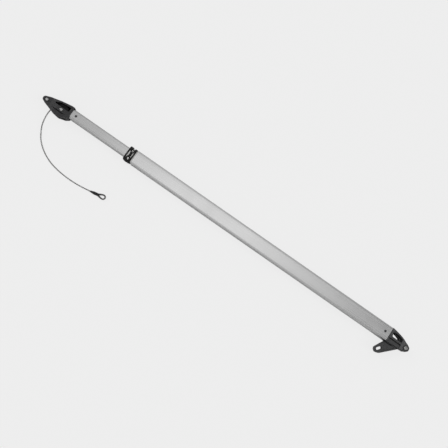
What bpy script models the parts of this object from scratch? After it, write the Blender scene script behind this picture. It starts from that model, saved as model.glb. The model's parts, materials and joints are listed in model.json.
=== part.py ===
"""Rigid boom vang: a telescoping strut of two aluminium tubes with a gas spring and a wire inside.

Frame, in metres: +X runs along the tube towards the mast end, +Y is the side away from the
tackle lug, +Z is up. The origin is the middle of the outer tube's flat underside.
Outlines are written in millimetres, as corners (x, y, rounding radius).
"""

import math

import bmesh
import bpy
from mathutils import Matrix, Vector

MM = 0.001

# Driving dimensions
PIN_TO_PIN = 1306 * MM
OUTER_LENGTH = 928 * MM
OUTER_HEIGHT = 45.5 * MM  # along Y
OUTER_THICKNESS = 38 * MM  # along Z
OUTER_CORNER = 8 * MM
INNER_HEIGHT = 31 * MM
INNER_THICKNESS = 26 * MM
INNER_CORNER = 5 * MM
WALL = 2.5 * MM
STROKE = 180 * MM  # how far the inner tube slides in
WIRE_RADIUS = 2 * MM
CORD_RADIUS = 2 * MM
GAP = 0.3 * MM  # between pieces that touch

# Places
MID = OUTER_THICKNESS / 2  # height of the plane that the strut is symmetric about
OUTER_END = OUTER_LENGTH / 2
MAST_PIN = Vector((528 * MM, -6.4 * MM, MID))
BOOM_PIN = Vector((MAST_PIN.x - PIN_TO_PIN, -7.7 * MM, MID))
SHEAVE_AXIS = Vector((-724 * MM, -9.3 * MM, MID))
SHEAVE_WIRE_RADIUS = 19 * MM
WIRE_Y = SHEAVE_AXIS.y + SHEAVE_WIRE_RADIUS  # the wire's inner leg leaves the sheave's top
GAS_SPRING_Y = -6 * MM
INNER_START = -700.5 * MM
INNER_END = -30 * MM
MAST_SCREW_X = 448 * MM
BOOM_SCREW_X = -678 * MM
SLIDER_SCREW_X = -46 * MM

# Mast end: the fork, the tackle lug and the plug that anchors the wire and the gas spring
MAST_PLUG_START = 424 * MM
MAST_FORK_HALF = 12.5 * MM
MAST_FORK_GAP = 5.5 * MM  # half of the gap
LUG_HALF = 6 * MM
WIRE_ANCHOR_X = 433 * MM

# Countersunk screws
SCREW_HEAD = 3.6 * MM
SCREW_SHANK = 1.9 * MM
SCREW_CONE = 1.9 * MM  # depth of the countersunk head
SCREW_LENGTH = 11 * MM

# Clevis pins
PIN_RADIUS = 4 * MM
PIN_BORE = 4.3 * MM
PIN_HEAD_HEIGHT = 2.4 * MM
RING_RADIUS = 6.5 * MM
RING_WIRE = 0.8 * MM
RING_DEPTH = 3 * MM  # below the lower cheek

# Boom end
BOOM_NOSE_HALF = 11 * MM
BOOM_BODY_HALF = 16.6 * MM
BAY_HALF = 5.8 * MM  # the space between the cheeks
SHEAVE_RIM = 20.4 * MM
SHEAVE_HALF = 5 * MM
AXLE_RADIUS = 4 * MM

# Gas spring
CYLINDER_RADIUS = 11 * MM
CYLINDER_BORE = 9.5 * MM
CYLINDER_START = 205 * MM
CYLINDER_WALL = 3 * MM
CYLINDER_END = CYLINDER_START + STROKE + 18 * MM + CYLINDER_WALL
GLAND_LENGTH = 6 * MM  # inside the cylinder
PISTON_RADIUS = 9.1 * MM
ROD_RADIUS = 4 * MM
SPACER_STARTS = (225 * MM, 370 * MM)
SPACER_LENGTH = 12 * MM

# Guide bush, and the shock cord lashed round its neck
NECK_START = -492 * MM
NECK_HEIGHT = 38 * MM
NECK_THICKNESS = 29.2 * MM
NECK_CORNER = 6.5 * MM
CORD_LEFT = -489.6 * MM
CORD_RIGHT = -468.8 * MM
CORD_PITCH = 4.8 * MM

# The wire's free tail, as the points of its route in millimetres, and what is spliced on its end
WIRE_TAIL_ROUTE = [
    (-754.4, -25.5, 19), (-754.9, -38, 17.8), (-754.4, -52, 14.6), (-751.6, -71.5, 8.6),
    (-746.9, -84.5, 5), (-740.3, -96.9, 2.8), (-731.8, -109.3, 2.1), (-720.6, -121.4, 2.1),
    (-702.6, -135.3, 2.1), (-682.4, -146.5, 2.1), (-658.1, -155.5, 2.1), (-629.1, -161.2, 2.1),
    (-594.2, -164, 2.1), (-562.7, -163.2, 2.1), (-540.9, -161.1, 2.5), (-520.6, -158.2, 2.9),
]
WIRE_TAIL_STEP = 6 * MM
WIRE_SLACK_BEND = 30 * MM  # radius of the bow in which the slack wire leaves the sheave
SLEEVE_START = Vector((-520.2 * MM, -158.1 * MM, 2.9 * MM))
SLEEVE_HEADING = math.radians(9.7)  # turned from +X towards +Y
SLEEVE_LENGTH = 32 * MM
SLEEVE_RISE = math.radians(3.2)
SLEEVE_TIP = 2.8 * MM
SLEEVE_BASE = 4.6 * MM
EYE_LENGTH = 15.3 * MM  # from the sleeve to the centre of the eye's far bend
EYE_BEND = 6.8 * MM  # radius of the far bend, at the wire's centre

SEGMENTS = 20
ARC_STEP = math.radians(20)

ALUMINIUM = ("anodised_aluminium", (0.62, 0.62, 0.62), 0.35, 1.0)
CASTING = ("dark_casting", (0.06, 0.06, 0.065), 0.5, 0.3)
STEEL = ("stainless_steel", (0.66, 0.65, 0.63), 0.25, 1.0)
WIRE_ROPE = ("wire_rope", (0.42, 0.42, 0.42), 0.4, 0.9)
DARK_SCREW = ("dark_screw", (0.12, 0.12, 0.12), 0.45, 0.8)
ACETAL = ("acetal", (0.72, 0.72, 0.7), 0.5, 0.0)
BLACK_ACETAL = ("black_acetal", (0.02, 0.02, 0.02), 0.4, 0.0)
SHOCK_CORD = ("shock_cord", (0.025, 0.025, 0.028), 0.8, 0.0)
SHRINK_TUBE = ("shrink_tube", (0.03, 0.03, 0.03), 0.45, 0.0)
PAINTED_STEEL = ("black_painted_steel", (0.03, 0.03, 0.03), 0.35, 0.2)
BRONZE = ("bronze", (0.55, 0.38, 0.18), 0.35, 1.0)

# How a piece modelled along local Z is turned so that it lies along X or Y
TURNS = {
    "Z": Matrix.Identity(4),
    "X": Matrix(((0, 0, 1, 0), (1, 0, 0, 0), (0, 1, 0, 0), (0, 0, 0, 1))),
    "Y": Matrix(((1, 0, 0, 0), (0, 0, -1, 0), (0, 1, 0, 0), (0, 0, 0, 1))),
}

for old in list(bpy.data.objects):
    bpy.data.objects.remove(old)
parts = bpy.data.collections.new("boom_vang")
cutters = bpy.data.collections.new("cutters")
bpy.context.scene.collection.children.link(parts)
bpy.context.scene.collection.children.link(cutters)


# ---------------------------------------------------------------- outlines and routes

def rounded(corners):
    """The outline through these corners, each one an arc of its radius, in metres."""
    outline = []
    for i, (x, y, radius) in enumerate(corners):
        corner = Vector((x, y))
        if radius == 0:
            outline.append(corner * MM)
            continue
        before = (Vector(corners[i - 1][:2]) - corner).normalized()
        after = (Vector(corners[(i + 1) % len(corners)][:2]) - corner).normalized()
        opening = before.angle(after)
        centre = corner + (before + after).normalized() * (radius / math.sin(opening / 2))
        reach = radius / math.tan(opening / 2)
        first = corner + before * reach - centre
        last = corner + after * reach - centre
        turn = math.atan2(first.x * last.y - first.y * last.x, first.dot(last))
        steps = max(1, math.ceil(abs(turn) / ARC_STEP))
        for k in range(steps + 1):
            arc = Matrix.Rotation(turn * k / steps, 2) @ first
            outline.append((centre + arc) * MM)
    return outline


def rectangle(width, height, corner=0.0, centre=(0, 0)):
    """A rounded rectangle's outline, all in metres."""
    x, y, radius = width / 2 / MM, height / 2 / MM, corner / MM
    shape = rounded([(-x, -y, radius), (x, -y, radius), (x, y, radius), (-x, y, radius)])
    return [point + Vector(centre) for point in shape]


def circle(radius, centre=(0, 0), segments=SEGMENTS):
    turn = 2 * math.pi / segments
    return [
        Vector((centre[0] + radius * math.cos(turn * k), centre[1] + radius * math.sin(turn * k)))
        for k in range(segments)
    ]


def slot(start, end, radius):
    """The outline of a slot with round ends, centred on start and end, all in millimetres."""
    along = (Vector(end) - Vector(start)).normalized() * radius
    side = Vector((-along.y, along.x))
    box = (Vector(start) - along - side, Vector(end) + along - side,
           Vector(end) + along + side, Vector(start) - along + side)
    return rounded([(*corner, radius * 0.999) for corner in box])


def smooth_route(points, step):
    """Points about one step apart on the smooth curve through these points."""
    points = [Vector(point) for point in points]
    ends = [2 * points[0] - points[1]] + points + [2 * points[-1] - points[-2]]
    route = [points[0]]
    for before, start, end, after in zip(ends, ends[1:], ends[2:], ends[3:]):
        length = (end - start).length
        leave = (end - before) * (length / ((end - start).length + (start - before).length))
        arrive = (after - start) * (length / ((after - end).length + (end - start).length))
        pieces = max(1, round(length / step))
        for k in range(1, pieces + 1):
            t = k / pieces
            route.append(
                (2 * t**3 - 3 * t**2 + 1) * start + (t**3 - 2 * t**2 + t) * leave
                + (3 * t**2 - 2 * t**3) * end + (t**3 - t**2) * arrive
            )
    return route


# ---------------------------------------------------------------- shapes

def finish_piece(shape, finish=None, parent=None):
    """Gives a shape its material and parent, or keeps it as a hidden cutter when it has no finish."""
    for collection in list(shape.users_collection):
        collection.objects.unlink(shape)
    if finish is None:
        cutters.objects.link(shape)
        shape.hide_render = True
        shape.display_type = "WIRE"
        return shape
    parts.objects.link(shape)
    name, colour, roughness, metallic = finish
    if name not in bpy.data.materials:
        made = bpy.data.materials.new(name)
        made.use_nodes = True
        shader = made.node_tree.nodes["Principled BSDF"]
        shader.inputs["Base Color"].default_value = (*colour, 1)
        shader.inputs["Roughness"].default_value = roughness
        shader.inputs["Metallic"].default_value = metallic
    shape.data.materials.clear()
    shape.data.materials.append(bpy.data.materials[name])
    if parent:
        shape.parent = parent
        shape.matrix_parent_inverse = Matrix.Translation(parent.location).inverted()
    return shape


def to_mesh(curve_object):
    """A mesh object of this curve object, its caps welded on. The curve is removed."""
    name, place = curve_object.name, curve_object.matrix_world.copy()
    bpy.context.view_layer.update()
    graph = bpy.context.evaluated_depsgraph_get()
    mesh = bpy.data.meshes.new_from_object(curve_object.evaluated_get(graph))
    bpy.data.objects.remove(curve_object)
    shell = bmesh.new()
    shell.from_mesh(mesh)
    bmesh.ops.remove_doubles(shell, verts=shell.verts, dist=0.00001)
    bmesh.ops.recalc_face_normals(shell, faces=shell.faces)
    shell.to_mesh(mesh)
    shell.free()
    made = bpy.data.objects.new(name, mesh)
    made.matrix_world = place
    bpy.context.scene.collection.objects.link(made)
    return made


def prism(name, outlines, low, high, along="Z", finish=None, parent=None):
    """A flat outline, and the holes in it, extruded along an axis from low to high."""
    curve = bpy.data.curves.new(name, "CURVE")
    curve.dimensions = "2D"
    curve.fill_mode = "BOTH"
    curve.extrude = (high - low) / 2
    for outline in outlines:
        spline = curve.splines.new("POLY")
        spline.points.add(len(outline) - 1)
        for point, (x, y) in zip(spline.points, outline):
            point.co = (x, y, 0, 1)
        spline.use_cyclic_u = True
    made = bpy.data.objects.new(name, curve)
    made.matrix_world = TURNS[along] @ Matrix.Translation((0, 0, (low + high) / 2))
    bpy.context.scene.collection.objects.link(made)
    return finish_piece(to_mesh(made), finish, parent)


def turned(
    name, profile, place, along="Z", finish=None, parent=None, ring=False, segments=SEGMENTS
):
    """A profile of (radius, height) points, outer side from top to bottom, turned about an axis."""
    mesh = bpy.data.meshes.new(name)
    count = len(profile)
    edges = [(i, (i + 1) % count) for i in range(count if ring else count - 1)]
    mesh.from_pydata([(radius, 0, height) for radius, height in profile], edges, [])
    made = bpy.data.objects.new(name, mesh)
    made.matrix_world = Matrix.Translation(place) @ TURNS[along]
    bpy.context.scene.collection.objects.link(made)
    screw = made.modifiers.new("turn", "SCREW")
    screw.steps = screw.render_steps = segments
    screw.use_merge_vertices = True
    screw.merge_threshold = 0.00001
    return finish_piece(made, finish, parent)


def rod(name, radius, low, high, place, along="Z", finish=None, parent=None, segments=SEGMENTS):
    """A plain cylinder from low to high along an axis through place."""
    profile = [(0, high), (radius, high), (radius, low), (0, low)]
    return turned(name, profile, place, along, finish, parent, segments=segments)


def cord(name, route, radius, finish=None, parent=None, closed=False):
    """A round wire or cord along a route of points."""
    curve = bpy.data.curves.new(name, "CURVE")
    curve.dimensions = "3D"
    curve.bevel_depth = radius
    curve.bevel_resolution = 2
    curve.use_fill_caps = not closed
    spline = curve.splines.new("POLY")
    spline.points.add(len(route) - 1)
    for point, place in zip(spline.points, route):
        point.co = (*place, 1)
    spline.use_cyclic_u = closed
    made = bpy.data.objects.new(name, curve)
    bpy.context.scene.collection.objects.link(made)
    return finish_piece(to_mesh(made), finish, parent)


def combine(piece, other, operation):
    step = piece.modifiers.new(other.name, "BOOLEAN")
    step.operation = operation
    step.solver = "EXACT"
    step.object = other


def cut(piece, *tools):
    for tool in tools:
        combine(piece, tool, "DIFFERENCE")


def join(piece, *others):
    for other in others:
        combine(piece, other, "UNION")


def recess(name, outline, floor, up):
    """A cutter for a recess in the upper or lower side, with its floor this far from the middle."""
    low, high = sorted((MID + up * floor, MID + up * (floor + 8 * MM)))
    return prism(name, [outline], low, high)


def axis_empty(name, place):
    made = bpy.data.objects.new(name, None)
    made.location = place
    made.empty_display_size = 0.02
    parts.objects.link(made)
    return made


outer_frame = axis_empty("outer_frame", Vector((0, 0, MID)))
inner_frame = axis_empty("inner_frame", SHEAVE_AXIS)
sheave_frame = axis_empty("sheave_frame", SHEAVE_AXIS)
mast_pin_frame = axis_empty("mast_pin_frame", MAST_PIN)
boom_pin_frame = axis_empty("boom_pin_frame", BOOM_PIN)


# ---------------------------------------------------------------- fasteners

def screw(name, x, y, face, up, parent):
    """A countersunk screw whose head lies flush in a face at this height; up is 1 or -1."""
    recess, driver = 1.2 * MM, 1.3 * MM
    profile = [
        (0, -recess), (driver, -recess), (driver, 0), (SCREW_HEAD, 0), (SCREW_HEAD, -0.3 * MM),
        (SCREW_SHANK, -SCREW_CONE), (SCREW_SHANK, -SCREW_LENGTH), (0, -SCREW_LENGTH),
    ]
    if up < 0:
        profile = [(radius, -height) for radius, height in reversed(profile)]
    place = Vector((x, y, face))
    return turned(name, profile, place, finish=DARK_SCREW, parent=parent, segments=12)


def screw_hole(x, y, half, name):
    """A cutter for a screw's hole, countersunk in the faces at half above and below the middle."""
    head, shank = SCREW_HEAD + GAP, SCREW_SHANK + GAP
    cone, clear = half - SCREW_CONE - GAP, half + 1 * MM
    profile = [
        (0, clear), (head, clear), (head, half - GAP), (shank, cone),
        (shank, -cone), (head, GAP - half), (head, -clear), (0, -clear),
    ]
    return turned(name, profile, Vector((x, y, MID)), segments=12)


# ---------------------------------------------------------------- outer tube

def tube(name, height, thickness, corner, start, end, parent):
    """A tube of rounded rectangular section along X, on the middle plane."""
    outer = rectangle(height, thickness, corner, (0, MID))
    inner = rectangle(height - 2 * WALL, thickness - 2 * WALL, corner - WALL, (0, MID))
    return prism(name, [outer, inner], start, end, "X", ALUMINIUM, parent)


def plug_outline(height, thickness, corner):
    """The section of a piece that slides into a tube of this outer size."""
    inside = 2 * (WALL + GAP)
    return rectangle(height - inside, thickness - inside, corner - WALL, (0, MID))


def socket_outline():
    """The section of a hole that the inner tube fits."""
    height, thickness = INNER_HEIGHT + 2 * GAP, INNER_THICKNESS + 2 * GAP
    return rectangle(height, thickness, INNER_CORNER + GAP, (0, MID))


def make_outer_tube():
    made = tube(
        "outer_tube", OUTER_HEIGHT, OUTER_THICKNESS, OUTER_CORNER, -OUTER_END, OUTER_END, outer_frame
    )
    cut(made, screw_hole(MAST_SCREW_X, 0, OUTER_THICKNESS / 2, "outer_screw_cutter"))
    for up, name in ((1, "mast_fitting_screw_upper"), (-1, "mast_fitting_screw_lower")):
        screw(name, MAST_SCREW_X, 0, MID + up * OUTER_THICKNESS / 2, up, outer_frame)


# ---------------------------------------------------------------- mast end

def make_mast_end_fitting():
    body = rounded([
        (464.3, 22.6, 1), (478, 20.8, 30), (500, 16.2, 40), (514, 11.6, 60), (530, 5.8, 20),
        (539.7, -0.6, 7), (539.9, -10.6, 6), (531, -18.7, 5), (508, -19.8, 5), (464.3, -22.6, 1),
    ])
    half, fork = MID / MM, MAST_FORK_HALF / MM
    side = rounded([
        (464.3, -half, 1), (472, 1.2 - half, 5), (510, 2.6 - half, 5), (521, -fork, 8),
        (560, -fork, 0), (560, fork, 0), (521, fork, 8), (510, half - 2.6, 5), (472, half - 1.2, 5),
        (464.3, half, 1),
    ])
    near_window = rounded([
        (470.5, 13, 2.5), (491, 13.8, 10), (508.4, 9, 3), (507.8, -0.6, 1.5), (475.6, -0.8, 3),
    ])
    far_window = rounded([
        (473.5, 12.2, 2), (489, 11.4, 6), (502.2, 6.9, 2), (502.8, 3, 1.5), (501.2, -0.3, 1),
        (476.6, -0.5, 2.5),
    ])
    lug = rounded([
        (519, -14, 0), (519, -15.2, 2), (469.4, -64.2, 9), (456.2, -68.4, 9), (447, -57.4, 8),
        (462.8, -28.4, 2), (465.4, -24, 1), (465.4, -10, 0),
    ])
    lug_field = rounded([
        (504, -23.5, 2), (477, -50.4, 2.5), (472.4, -44, 6), (469, -38, 4), (468.6, -23.5, 2),
    ])
    rib_panel = rounded([(468.5, -7.2, 2), (510.6, -7.2, 2), (510.6, -30, 0), (468.5, -30, 0)])
    rib_groove = rounded([(471, -7.2, 1), (510.6, -7.2, 2), (509.8, -10.6, 1), (471, -9, 0.8)])
    lug_root = rounded([(466, -23, 0), (491, -21.6, 0), (489, -25.2, 1.5), (466, -25.4, 1.5)])
    made = prism("mast_end_fitting", [body], 0, 2 * MID, finish=CASTING, parent=outer_frame)
    profile = prism("mast_side_profile", [side], -40 * MM, 40 * MM, "Y")
    profile.location.z += MID
    combine(made, profile, "INTERSECT")
    for up in (1, -1):
        cut(
            made,
            recess(f"mast_panel_{up}", rib_panel, 13.9 * MM, up),
            recess(f"mast_rib_groove_{up}", rib_groove, 12 * MM, up),
        )
    join(made, prism("mast_lug", [lug], MID - LUG_HALF, MID + LUG_HALF))
    for up in (1, -1):
        cut(
            made,
            recess(f"lug_field_{up}", lug_field, LUG_HALF - 1.6 * MM, up),
            recess(f"lug_root_{up}", lug_root, LUG_HALF - 3 * MM, up),
        )
    plug = plug_outline(OUTER_HEIGHT, OUTER_THICKNESS, OUTER_CORNER)
    join(made, prism("mast_plug", [plug], MAST_PLUG_START, 467 * MM, "X"))
    fork_gap = rectangle(60 * MM, 80 * MM, 0, (543 * MM, 0))
    foot_pocket = rectangle(13 * MM, 13 * MM, 0, (GAS_SPRING_Y, MID))
    plug_face = Vector((MAST_PLUG_START, WIRE_Y, MID))
    anchor = Vector((WIRE_ANCHOR_X, WIRE_Y, MID))
    cut(
        made,
        prism("mast_fork_gap", [fork_gap], MID - MAST_FORK_GAP, MID + MAST_FORK_GAP),
        prism("tackle_slot", [slot((459.6, -54.9), (465.4, -48.4), 4.5)], 0, 40 * MM),
        rod("mast_pin_bore", PIN_BORE, -20 * MM, 20 * MM, MAST_PIN),
        prism("mast_window_near", [near_window], MID + 3 * MM, 45 * MM),
        prism("mast_window_far", [far_window], -5 * MM, 50 * MM),
        screw_hole(MAST_SCREW_X, 0, OUTER_THICKNESS / 2, "mast_screw_cutter"),
        prism("foot_pocket", [foot_pocket], MAST_PLUG_START - 5 * MM, MAST_PLUG_START + 8 * MM, "X"),
        rod("wire_anchor_pocket", 4.4 * MM, -10 * MM, 19 * MM, plug_face, "X"),
        rod("anchor_pin_bore", 2.3 * MM, -20 * MM, 20 * MM, anchor, segments=16),
    )


def make_clevis_pin(name, ring_name, place, head_radius, cheek, ring_heading, parent):
    """A pin with a flat head on the upper cheek, and a split ring through its lower end."""
    face = cheek + GAP
    top, tail = face + PIN_HEAD_HEIGHT, cheek + RING_DEPTH + 2 * MM
    chamfer = 0.8 * MM
    profile = [
        (0, top), (head_radius - chamfer, top), (head_radius, top - chamfer), (head_radius, face),
        (PIN_RADIUS, face), (PIN_RADIUS, chamfer - tail), (PIN_RADIUS - chamfer, -tail), (0, -tail),
    ]
    made = turned(name, profile, place, finish=STEEL, parent=parent)
    aside = Matrix.Rotation(math.radians(ring_heading), 2) @ Vector((RING_RADIUS, 0))
    centre = place + Vector((*aside, -cheek - RING_DEPTH))
    route = [centre + Vector((*point, 0)) for point in circle(RING_RADIUS)]
    cord(ring_name, route, RING_WIRE, STEEL, parent, closed=True)
    cut(made, cord(f"{ring_name}_bore", route, RING_WIRE + 0.4 * MM, closed=True))


# ---------------------------------------------------------------- gas spring and wire anchor

def make_gas_spring():
    axis = Vector((0, GAS_SPRING_Y, MID))
    mouth, end, chamfer = CYLINDER_START, CYLINDER_END, 1 * MM
    floor = end - CYLINDER_WALL
    turned("gas_spring_cylinder", [
        (0, end), (CYLINDER_RADIUS - chamfer, end), (CYLINDER_RADIUS, end - chamfer),
        (CYLINDER_RADIUS, mouth), (CYLINDER_BORE, mouth), (CYLINDER_BORE, floor), (0, floor),
    ], axis, "X", PAINTED_STEEL, outer_frame)
    inside, outside = mouth + GLAND_LENGTH, mouth - 6 * MM
    turned("gas_spring_gland", [
        (CYLINDER_RADIUS, mouth - GAP), (CYLINDER_RADIUS, outside + 2 * MM), (8 * MM, outside),
        (ROD_RADIUS + GAP, outside), (ROD_RADIUS + GAP, inside), (CYLINDER_BORE - GAP, inside),
        (CYLINDER_BORE - GAP, mouth - GAP),
    ], axis, "X", BLACK_ACETAL, outer_frame, ring=True)
    foot, tip = end + GAP, MAST_PLUG_START + 7.5 * MM
    turned("gas_spring_foot", [
        (0, tip), (6 * MM, tip), (6 * MM, foot + 4 * MM), (9 * MM, foot + 4 * MM), (9 * MM, foot),
        (0, foot),
    ], axis, "X", STEEL, outer_frame)
    piston = inside + GAP
    rod("gas_spring_rod", ROD_RADIUS, INNER_END - 10 * MM, piston, axis, "X", STEEL, inner_frame)
    groove = PISTON_RADIUS - 1.7 * MM
    turned("gas_spring_piston", [
        (0, piston + 9 * MM), (PISTON_RADIUS - chamfer, piston + 9 * MM),
        (PISTON_RADIUS, piston + 8 * MM), (PISTON_RADIUS, piston + 6 * MM),
        (groove, piston + 6 * MM), (groove, piston + 3 * MM), (PISTON_RADIUS, piston + 3 * MM),
        (PISTON_RADIUS, piston + GAP), (0, piston + GAP),
    ], axis, "X", STEEL, inner_frame)
    seal = [axis + Vector((piston + 4.5 * MM, y, z)) for y, z in circle(8.5 * MM)]
    cord("gas_spring_piston_seal", seal, 0.8 * MM, BLACK_ACETAL, inner_frame, closed=True)


def make_spring_spacers():
    """Two saddles that hold the gas spring off the outer tube's wall, with a notch for the wire."""
    section = plug_outline(OUTER_HEIGHT, OUTER_THICKNESS, OUTER_CORNER)
    hole = circle(CYLINDER_RADIUS + GAP, (GAS_SPRING_Y, MID))
    notch = rectangle(14 * MM, 5.4 * MM, 0, (WIRE_Y + 4.5 * MM, MID))
    for number, start in enumerate(SPACER_STARTS, 1):
        name, end = f"gas_spring_spacer_{number}", start + SPACER_LENGTH
        made = prism(name, [section, hole], start, end, "X", BLACK_ACETAL, outer_frame)
        cut(made, prism(f"spacer_notch_{number}", [notch], start - 5 * MM, end + 5 * MM, "X"))


def make_wire_anchor():
    axis = Vector((0, WIRE_Y, MID))
    start, end = MAST_PLUG_START - 30 * MM, MAST_PLUG_START + 18 * MM
    made = turned("wire_anchor_terminal", [
        (0, end), (3.6 * MM, end), (4 * MM, end - 1 * MM), (4 * MM, start + 8 * MM),
        (3.2 * MM, start), (0, start),
    ], axis, "X", STEEL, outer_frame)
    place, half = Vector((WIRE_ANCHOR_X, WIRE_Y, MID)), 15.5 * MM
    cut(made, rod("terminal_pin_bore", 2.3 * MM, -20 * MM, 20 * MM, place, segments=16))
    rod("wire_anchor_pin", 2 * MM, -half, half, place, "Z", STEEL, outer_frame, segments=16)
    leg = [Vector((x, WIRE_Y, MID)) for x in (SHEAVE_AXIS.x + GAP, start - GAP)]
    cord("wire_inner_leg", leg, WIRE_RADIUS, WIRE_ROPE, outer_frame)


# ---------------------------------------------------------------- guide bush and lashing

def make_guide_bush():
    bore = socket_outline()
    neck = rectangle(NECK_HEIGHT, NECK_THICKNESS, NECK_CORNER, (0, MID))
    sleeve = plug_outline(OUTER_HEIGHT, OUTER_THICKNESS, OUTER_CORNER)
    neck_end = -OUTER_END + 1 * MM
    made = prism("guide_bush", [neck, bore], NECK_START, neck_end, "X", ACETAL, outer_frame)
    flange = rectangle(NECK_HEIGHT + 4 * MM, NECK_THICKNESS + 5 * MM, 7.5 * MM, (0, MID))
    join(
        made,
        prism("bush_lip", [flange, bore], -OUTER_END - 1.3 * MM, -OUTER_END - GAP, "X"),
        prism("bush_sleeve", [sleeve, bore], -OUTER_END - 0.8 * MM, -OUTER_END + 34 * MM, "X"),
    )


def lashing_turn(x_top, x_bottom, lift):
    """One turn of cord round the neck. It crosses the upper face from x_top (+Y side) to x_bottom."""
    clear = CORD_RADIUS + GAP
    half_y, half_z = NECK_HEIGHT / 2 + clear, NECK_THICKNESS / 2 + clear
    corner = NECK_CORNER + clear
    route = []
    for y, z in rectangle(2 * half_y, 2 * half_z, corner):
        route.append(Vector((x_top if y > 0 else x_bottom, y, MID + z)))
    crossing = []
    for k in range(1, 8):
        t = k / 8
        y = (half_y - corner) * (1 - 2 * t)
        rise = lift * math.sin(math.pi * t) ** 2
        crossing.append(Vector((x_top + (x_bottom - x_top) * t, y, MID + half_z + rise)))
    top = max(point.z for point in route)
    place = 1 + max(i for i, point in enumerate(route) if point.y > 0 and point.z == top)
    return route[:place] + crossing + route[place:]


def make_lashing():
    """Shock cord: a turn at each end of the neck, a pair that cross between them, and the knot."""
    inner_left, inner_right = CORD_LEFT + CORD_PITCH, CORD_RIGHT - CORD_PITCH
    first = lashing_turn(CORD_LEFT, CORD_LEFT, 0)
    made = cord("shock_cord_lashing", first, CORD_RADIUS, SHOCK_CORD, outer_frame, closed=True)
    join(
        made,
        cord("cord_turn_right", lashing_turn(CORD_RIGHT, CORD_RIGHT, 0), CORD_RADIUS, closed=True),
        cord("cord_crossing_low", lashing_turn(inner_left, inner_right, 0), CORD_RADIUS, closed=True),
        cord(
            "cord_crossing_high", lashing_turn(inner_right, inner_left, 3.6 * MM), CORD_RADIUS,
            closed=True,
        ),
    )
    knot = [
        (-488.5, -22, -2), (-484, -22.8, 2.5), (-478, -23.2, 3), (-472, -22.8, 2.5), (-467.8, -22, -2),
    ]
    for name, drop in (("cord_knot_upper", 0), ("cord_knot_lower", 4.4)):
        points = [Vector((x, y, MID / MM + z - drop)) * MM for x, y, z in knot]
        join(made, cord(name, smooth_route(points, 3 * MM), 2.4 * MM))


# ---------------------------------------------------------------- inner tube

def make_inner_tube():
    made = tube(
        "inner_tube", INNER_HEIGHT, INNER_THICKNESS, INNER_CORNER, INNER_START, INNER_END, inner_frame
    )
    half = INNER_THICKNESS / 2
    cut(
        made,
        screw_hole(BOOM_SCREW_X, 0, half, "inner_screw_cutter"),
        screw_hole(SLIDER_SCREW_X, 0, half, "slider_screw_cutter"),
    )
    for up, side in ((1, "upper"), (-1, "lower")):
        screw(f"boom_fitting_screw_{side}", BOOM_SCREW_X, 0, MID + up * half, up, inner_frame)
        screw(f"slider_screw_{side}", SLIDER_SCREW_X, 0, MID + up * half, up, inner_frame)


def wire_channel(name, start, end):
    """A cutter for the passage that the wire's inner leg runs through."""
    passage = slot((WIRE_Y / MM, MID / MM), (WIRE_Y / MM + 1.4, MID / MM), 2.8)
    return prism(name, [passage], start, end, "X")


def make_slider():
    """The plug that guides the inner tube's end in the outer tube and takes the gas spring's rod."""
    section = plug_outline(INNER_HEIGHT, INNER_THICKNESS, INNER_CORNER)
    flange = plug_outline(OUTER_HEIGHT, OUTER_THICKNESS, OUTER_CORNER)
    start, end = INNER_END + GAP, INNER_END + 12 * MM
    made = prism("inner_tube_slider", [flange], start, end, "X", BLACK_ACETAL, inner_frame)
    join(made, prism("slider_plug", [section], INNER_END - 32 * MM, INNER_END + 1 * MM, "X"))
    axis = Vector((0, GAS_SPRING_Y, MID))
    cut(
        made,
        rod("rod_seat", ROD_RADIUS + GAP, INNER_END - 10.3 * MM, INNER_END + 20 * MM, axis, "X"),
        wire_channel("slider_wire_channel", INNER_END - 40 * MM, INNER_END + 20 * MM),
        screw_hole(SLIDER_SCREW_X, 0, INNER_THICKNESS / 2, "slider_plug_screw_cutter"),
    )


# ---------------------------------------------------------------- boom end

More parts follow.
